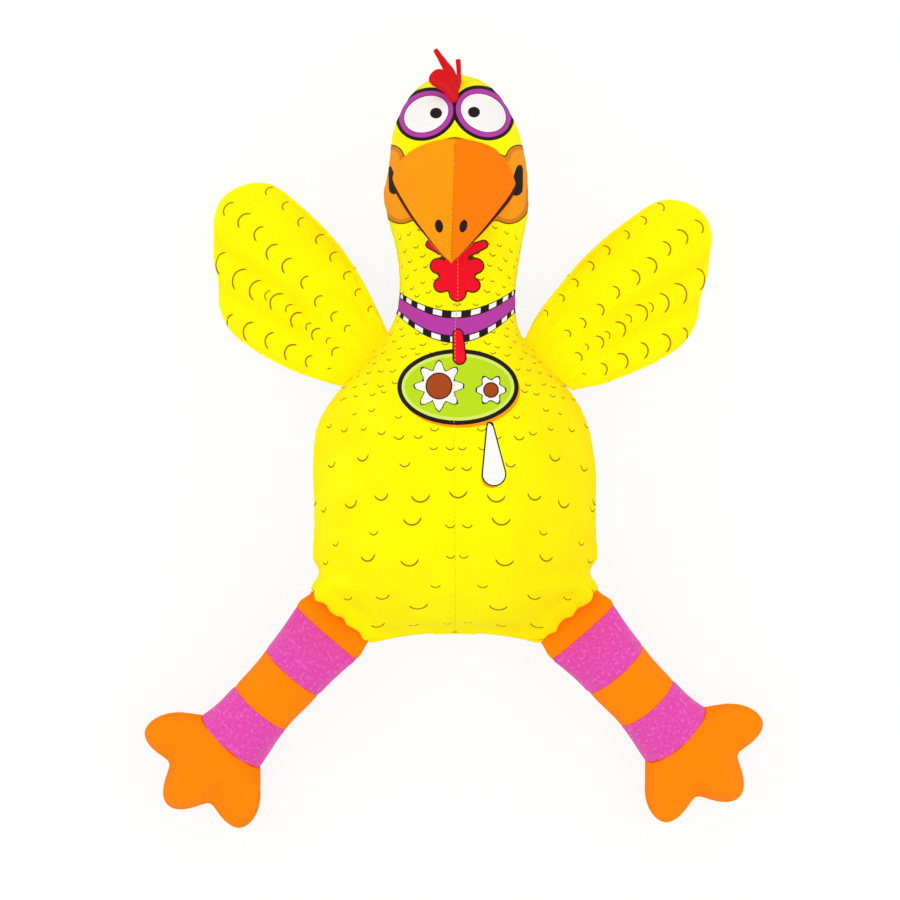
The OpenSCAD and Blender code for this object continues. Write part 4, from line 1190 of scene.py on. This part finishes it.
def foot_rings(z):
    """Rows from the ankle to the toe ends; columns across the front cloth and back under it."""
    rounding = 0.85 + 0.15 * np.sin(np.linspace(0, math.pi / 2, 13))
    x = np.concatenate([np.linspace(0, 0.85, 25)[:-1], rounding])[:, None]
    q = np.arange(FOOT_COLS) / FOOT_COLS
    j = np.concatenate([q, 1 - q])[None]
    side = np.where(np.arange(2 * FOOT_COLS)[None] <= FOOT_COLS, 1, -1)
    spread = 78 * (1 - 2 * j)
    angle = np.radians(spread + 4)
    split = np.cos(math.pi * spread / 51) ** 2
    toes = mix(np.sqrt(split + 0.02), split, 0.45)
    # Past the outer toes the edge runs back to the ankle in a round
    past = ((np.abs(spread) - 51) / 27).clip(0)
    r = z.foot_r + z.toe_depth * (np.where(past > 0, 1, toes) - 0.5)
    r = r - 0.46 * z.foot_r * past ** 1.6 + 2 * hump(spread, 16)
    ankle = bowed(z, np.array(z.leg_l - 0.8), np.sin(math.pi * j) * (side > 0))
    px = mix(ankle, z.leg_l + r * np.cos(angle), x)
    py = mix(z.ankle_w / 2 * np.cos(math.pi * j), r * np.sin(angle), x)
    webs = 1 - 0.16 * ease((x - 0.35) / 0.5) * (1 - toes)
    thick = np.sin(math.pi * j).clip(0) ** mix(1.0, 0.7, x) * np.clip(1 - x ** 3, 0, 1) ** 0.55 * webs
    return np.stack([px, py, side * thick * z.leg_t / 2], -1), x, j


@listed
class CHICKEN_OT_legs(bpy.types.Operator):
    """Legs and feet: stuffed tubes of canvas and plush bands, each ending in a three-toed canvas foot"""
    bl_idname = "chicken.legs"
    bl_label = "Legs and feet"

    def execute(self, context):
        z, t = sizes(), tints()
        seams = limb_seams(z)
        middle, turn, tip = seams.leg
        seam_tint = hex_linear("#f2470f")
        pink, orange = plush(), canvas("orange canvas", t.orange, [("seam", 0.7, seam_tint)])
        foot, x, j = foot_rings(z)
        held = np.zeros(foot.shape[:2])
        held[[0, -1]] = 1
        held[:, [0, foot.shape[1] // 2]] = 1
        foot = stuffed(foot, held, pressure=3.0, cap=2.0)
        off = 0.4 * lumps(foot, 24) - 0.35 * hump(x * 30, 1.5)
        foot = foot + grid_normals(foot) * (off * ease((1 - x) / 0.06))[..., None]
        for side, sign in SIDES.items():
            first = LEG_START
            for name, part in BANDS:
                last = part * z.leg_l
                cloth = pink if "plush" in name else orange
                self.band(z, f"{side}_leg", f"{side}_{name}", first, last, cloth)
                first = last
            u, v = round_lengths(foot, foot.shape[1] // 4), along_lengths(foot, 0)
            place = put(turned(lying(z, foot, side), middle, turn, tip), side)
            place[..., 2] = np.maximum(place[..., 2], LEAST_Z)
            # Painted shade by the ankle seam
            facts = {"seam": v[:, :-1] - 0.6, "gathered": 0.4 * np.exp(-v[:, :-1] / 6)}
            obj = skin(f"{side}_foot_skin", place, orange, u, v, facts)
            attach(obj, f"{side}_leg")
            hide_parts(*(f"{side}_foot_{part}" for part in ("front", "back", "filling")))
            thread_row(f"{side}_leg", seams.leg_low, seams.leg_high, sign, z.seam_z, hex_linear("#c86a00"))
        return {"FINISHED"}

    def band(self, z, leg, name, first, last, cloth):
        """One band of a leg, a little full between its seams."""
        middle, turn, tip = limb_seams(z).leg
        soft, top = "plush" in name, "thigh" in name
        rings, x, a = leg_rings(z, first - 0.5, last + 0.5, 25)
        near = last + 0.5 - x if top else np.minimum(x - first + 0.5, last + 0.5 - x)
        off = (0.35 if soft else 0.15) - 0.45 * hump(near, 1.1) + 0.45 * lumps(rings, 26)
        off = (off + 0.25 * np.sin(a * 9 + 0.4 * x) * hump(near, 4)) * ease((x + 1) / 8)
        if "lower" in name:
            off[-1] -= ANKLE_HEM
        rings = rings + grid_normals(rings) * off[..., None]
        u, v = round_lengths(rings, LEG_COLS // 4), along_lengths(rings, 0)
        side = name.split("_")[0]
        place = put(turned(lying(z, rings, side), middle, turn, tip), side)
        place[..., 2] = np.maximum(place[..., 2], LEAST_Z)
        near = near + 0 * a
        # Painted shade by the band's seams, and on the thigh band where the belly folds over it
        gathered = 0.4 * np.exp(-near / 4) + (0.7 * np.exp(-x.clip(0) / 4) if top else 0)
        obj = skin(f"{name}_skin", place, cloth, u, v, {"seam": near - 0.5, "gathered": gathered})
        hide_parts(name)
        if "shin" in name:
            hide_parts(f"{leg}_filling")
        if top:
            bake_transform(obj)
        else:
            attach(obj, leg)


@listed
class CHICKEN_OT_squeaker(bpy.types.Operator):
    """Squeaker: the moulded pieces inside the belly keep the solids' shape and get their plastics"""
    bl_idname = "chicken.squeaker"
    bl_label = "Squeaker"

    def execute(self, context):
        plastic, film = moulded_plastic(), reed_film()
        for name in ("squeaker_cup", "squeaker_dome", "squeaker_reed_tube", "squeaker_reed"):
            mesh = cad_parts[name].data
            mesh.materials.clear()
            mesh.materials.append(film if name == "squeaker_reed" else plastic)
        return {"FINISHED"}


STUDIO_LEVEL = 0.86  # how bright the white room is to everything but the camera
# Soft square lamps: name, place and side in metres, power in watts
LAMPS = (("key", (-1.3, 0.5, 1.5), 1.0, 5.5), ("fill", (1.1, 0.1, 1.4), 1.4, 4.5),
         ("top", (-0.2, 0.1, 2.2), 1.6, 3.3))
LENS, SENSOR = 125.8, 36  # the camera's lens and the width of its film, in millimetres


@listed
class CHICKEN_OT_stage(bpy.types.Operator):
    """White floor, soft studio lamps and a camera straight above"""
    bl_idname = "chicken.stage"
    bl_label = "Stage"

    def execute(self, context):
        scene = context.scene
        scene.view_settings.view_transform = "Standard"
        mesh = bpy.data.meshes.new("floor")
        mesh.from_pydata([(x, y, 0) for x, y in ((-4, -4), (4, -4), (4, 4), (-4, 4))], [], [(0, 1, 2, 3)])
        floor = bpy.data.objects.new("floor", mesh)
        scene.collection.objects.link(floor)
        material, tree, shader = surface("white studio paper", Roughness=0.9, Specular_IOR_Level=0.1)
        shader.inputs["Base Color"].default_value = hex_linear("#fafafa")
        glow = add_node(tree, "Emission", {"Color": (1, 1, 1, 1), "Strength": 1.0}, 0)
        # The paper looks white to the camera and in what mirrors it, and still takes the toy's soft shadow
        seen = add_node(tree, "LightPath").outputs
        ray = seen["Is Camera Ray"]
        for other in ("Is Glossy Ray", "Is Transmission Ray"):
            ray = add_node(tree, "Math", {0: ray, 1: seen[other]}, 0, operation="MAXIMUM")
        white = add_node(tree, "Math", {0: ray, 1: 0.85}, 0, operation="MULTIPLY")
        blended = add_node(tree, "MixShader", {0: white, 1: shader.outputs[0], 2: glow}, 0)
        tree.links.new(blended, tree.nodes["Material Output"].inputs[0])
        mesh.materials.append(material)
        world = bpy.data.worlds.new("studio")
        scene.world = world
        world.use_nodes = True
        tree = world.node_tree
        seen = add_node(tree, "LightPath").outputs
        lit = {0: seen["Is Camera Ray"], 1: 1 - STUDIO_LEVEL, 2: STUDIO_LEVEL}
        level = add_node(tree, "Math", lit, 0, operation="MULTIPLY_ADD")
        tree.links.new(level, tree.nodes["Background"].inputs["Strength"])
        tree.nodes["Background"].inputs["Color"].default_value = (1, 1, 1, 1)
        for name, place, size, power in LAMPS:
            lamp = bpy.data.lights.new(name, "AREA")
            lamp.size, lamp.energy = size, power
            obj = bpy.data.objects.new(name, lamp)
            obj.location = place
            obj.rotation_euler = (-obj.location).to_track_quat("-Z", "Y").to_euler()
            scene.collection.objects.link(obj)
        camera = bpy.data.cameras.new("camera")
        camera.sensor_width, camera.lens = SENSOR, LENS
        obj = bpy.data.objects.new("camera", camera)
        obj.location = (PHOTO_X * 0.001, PHOTO_Y * 0.001, PHOTO_H * 0.001)
        scene.collection.objects.link(obj)
        scene.camera = obj
        return {"FINISHED"}


@listed
class CHICKEN_PT_panel(bpy.types.Panel):
    """Sizes, colours and the pieces to make"""
    bl_idname = "CHICKEN_PT_panel"
    bl_label = "Cloth Chicken"
    bl_space_type = "VIEW_3D"
    bl_region_type = "UI"
    bl_category = "Chicken"

    def draw(self, context):
        scene = context.scene
        for group, cls in ((scene.chicken_sizes, ChickenSizes), (scene.chicken_colours, ChickenColours)):
            box = self.layout.box()
            for key in cls.__annotations__:
                box.prop(group, key)
        for cls in CLASSES:
            if issubclass(cls, bpy.types.Operator):
                self.layout.operator(cls.bl_idname)


def register():
    for cls in CLASSES:
        bpy.utils.register_class(cls)
    bpy.types.Scene.chicken_sizes = PointerProperty(type=ChickenSizes)
    bpy.types.Scene.chicken_colours = PointerProperty(type=ChickenColours)


def unregister():
    del bpy.types.Scene.chicken_colours
    del bpy.types.Scene.chicken_sizes
    for cls in reversed(CLASSES):
        bpy.utils.unregister_class(cls)


def main():
    register()
    bpy.ops.chicken.stage()
    bpy.ops.chicken.body()
    bpy.ops.chicken.beak()
    bpy.ops.chicken.comb()
    bpy.ops.chicken.wings()
    bpy.ops.chicken.legs()
    bpy.ops.chicken.squeaker()


if __name__ == "__main__":
    main()
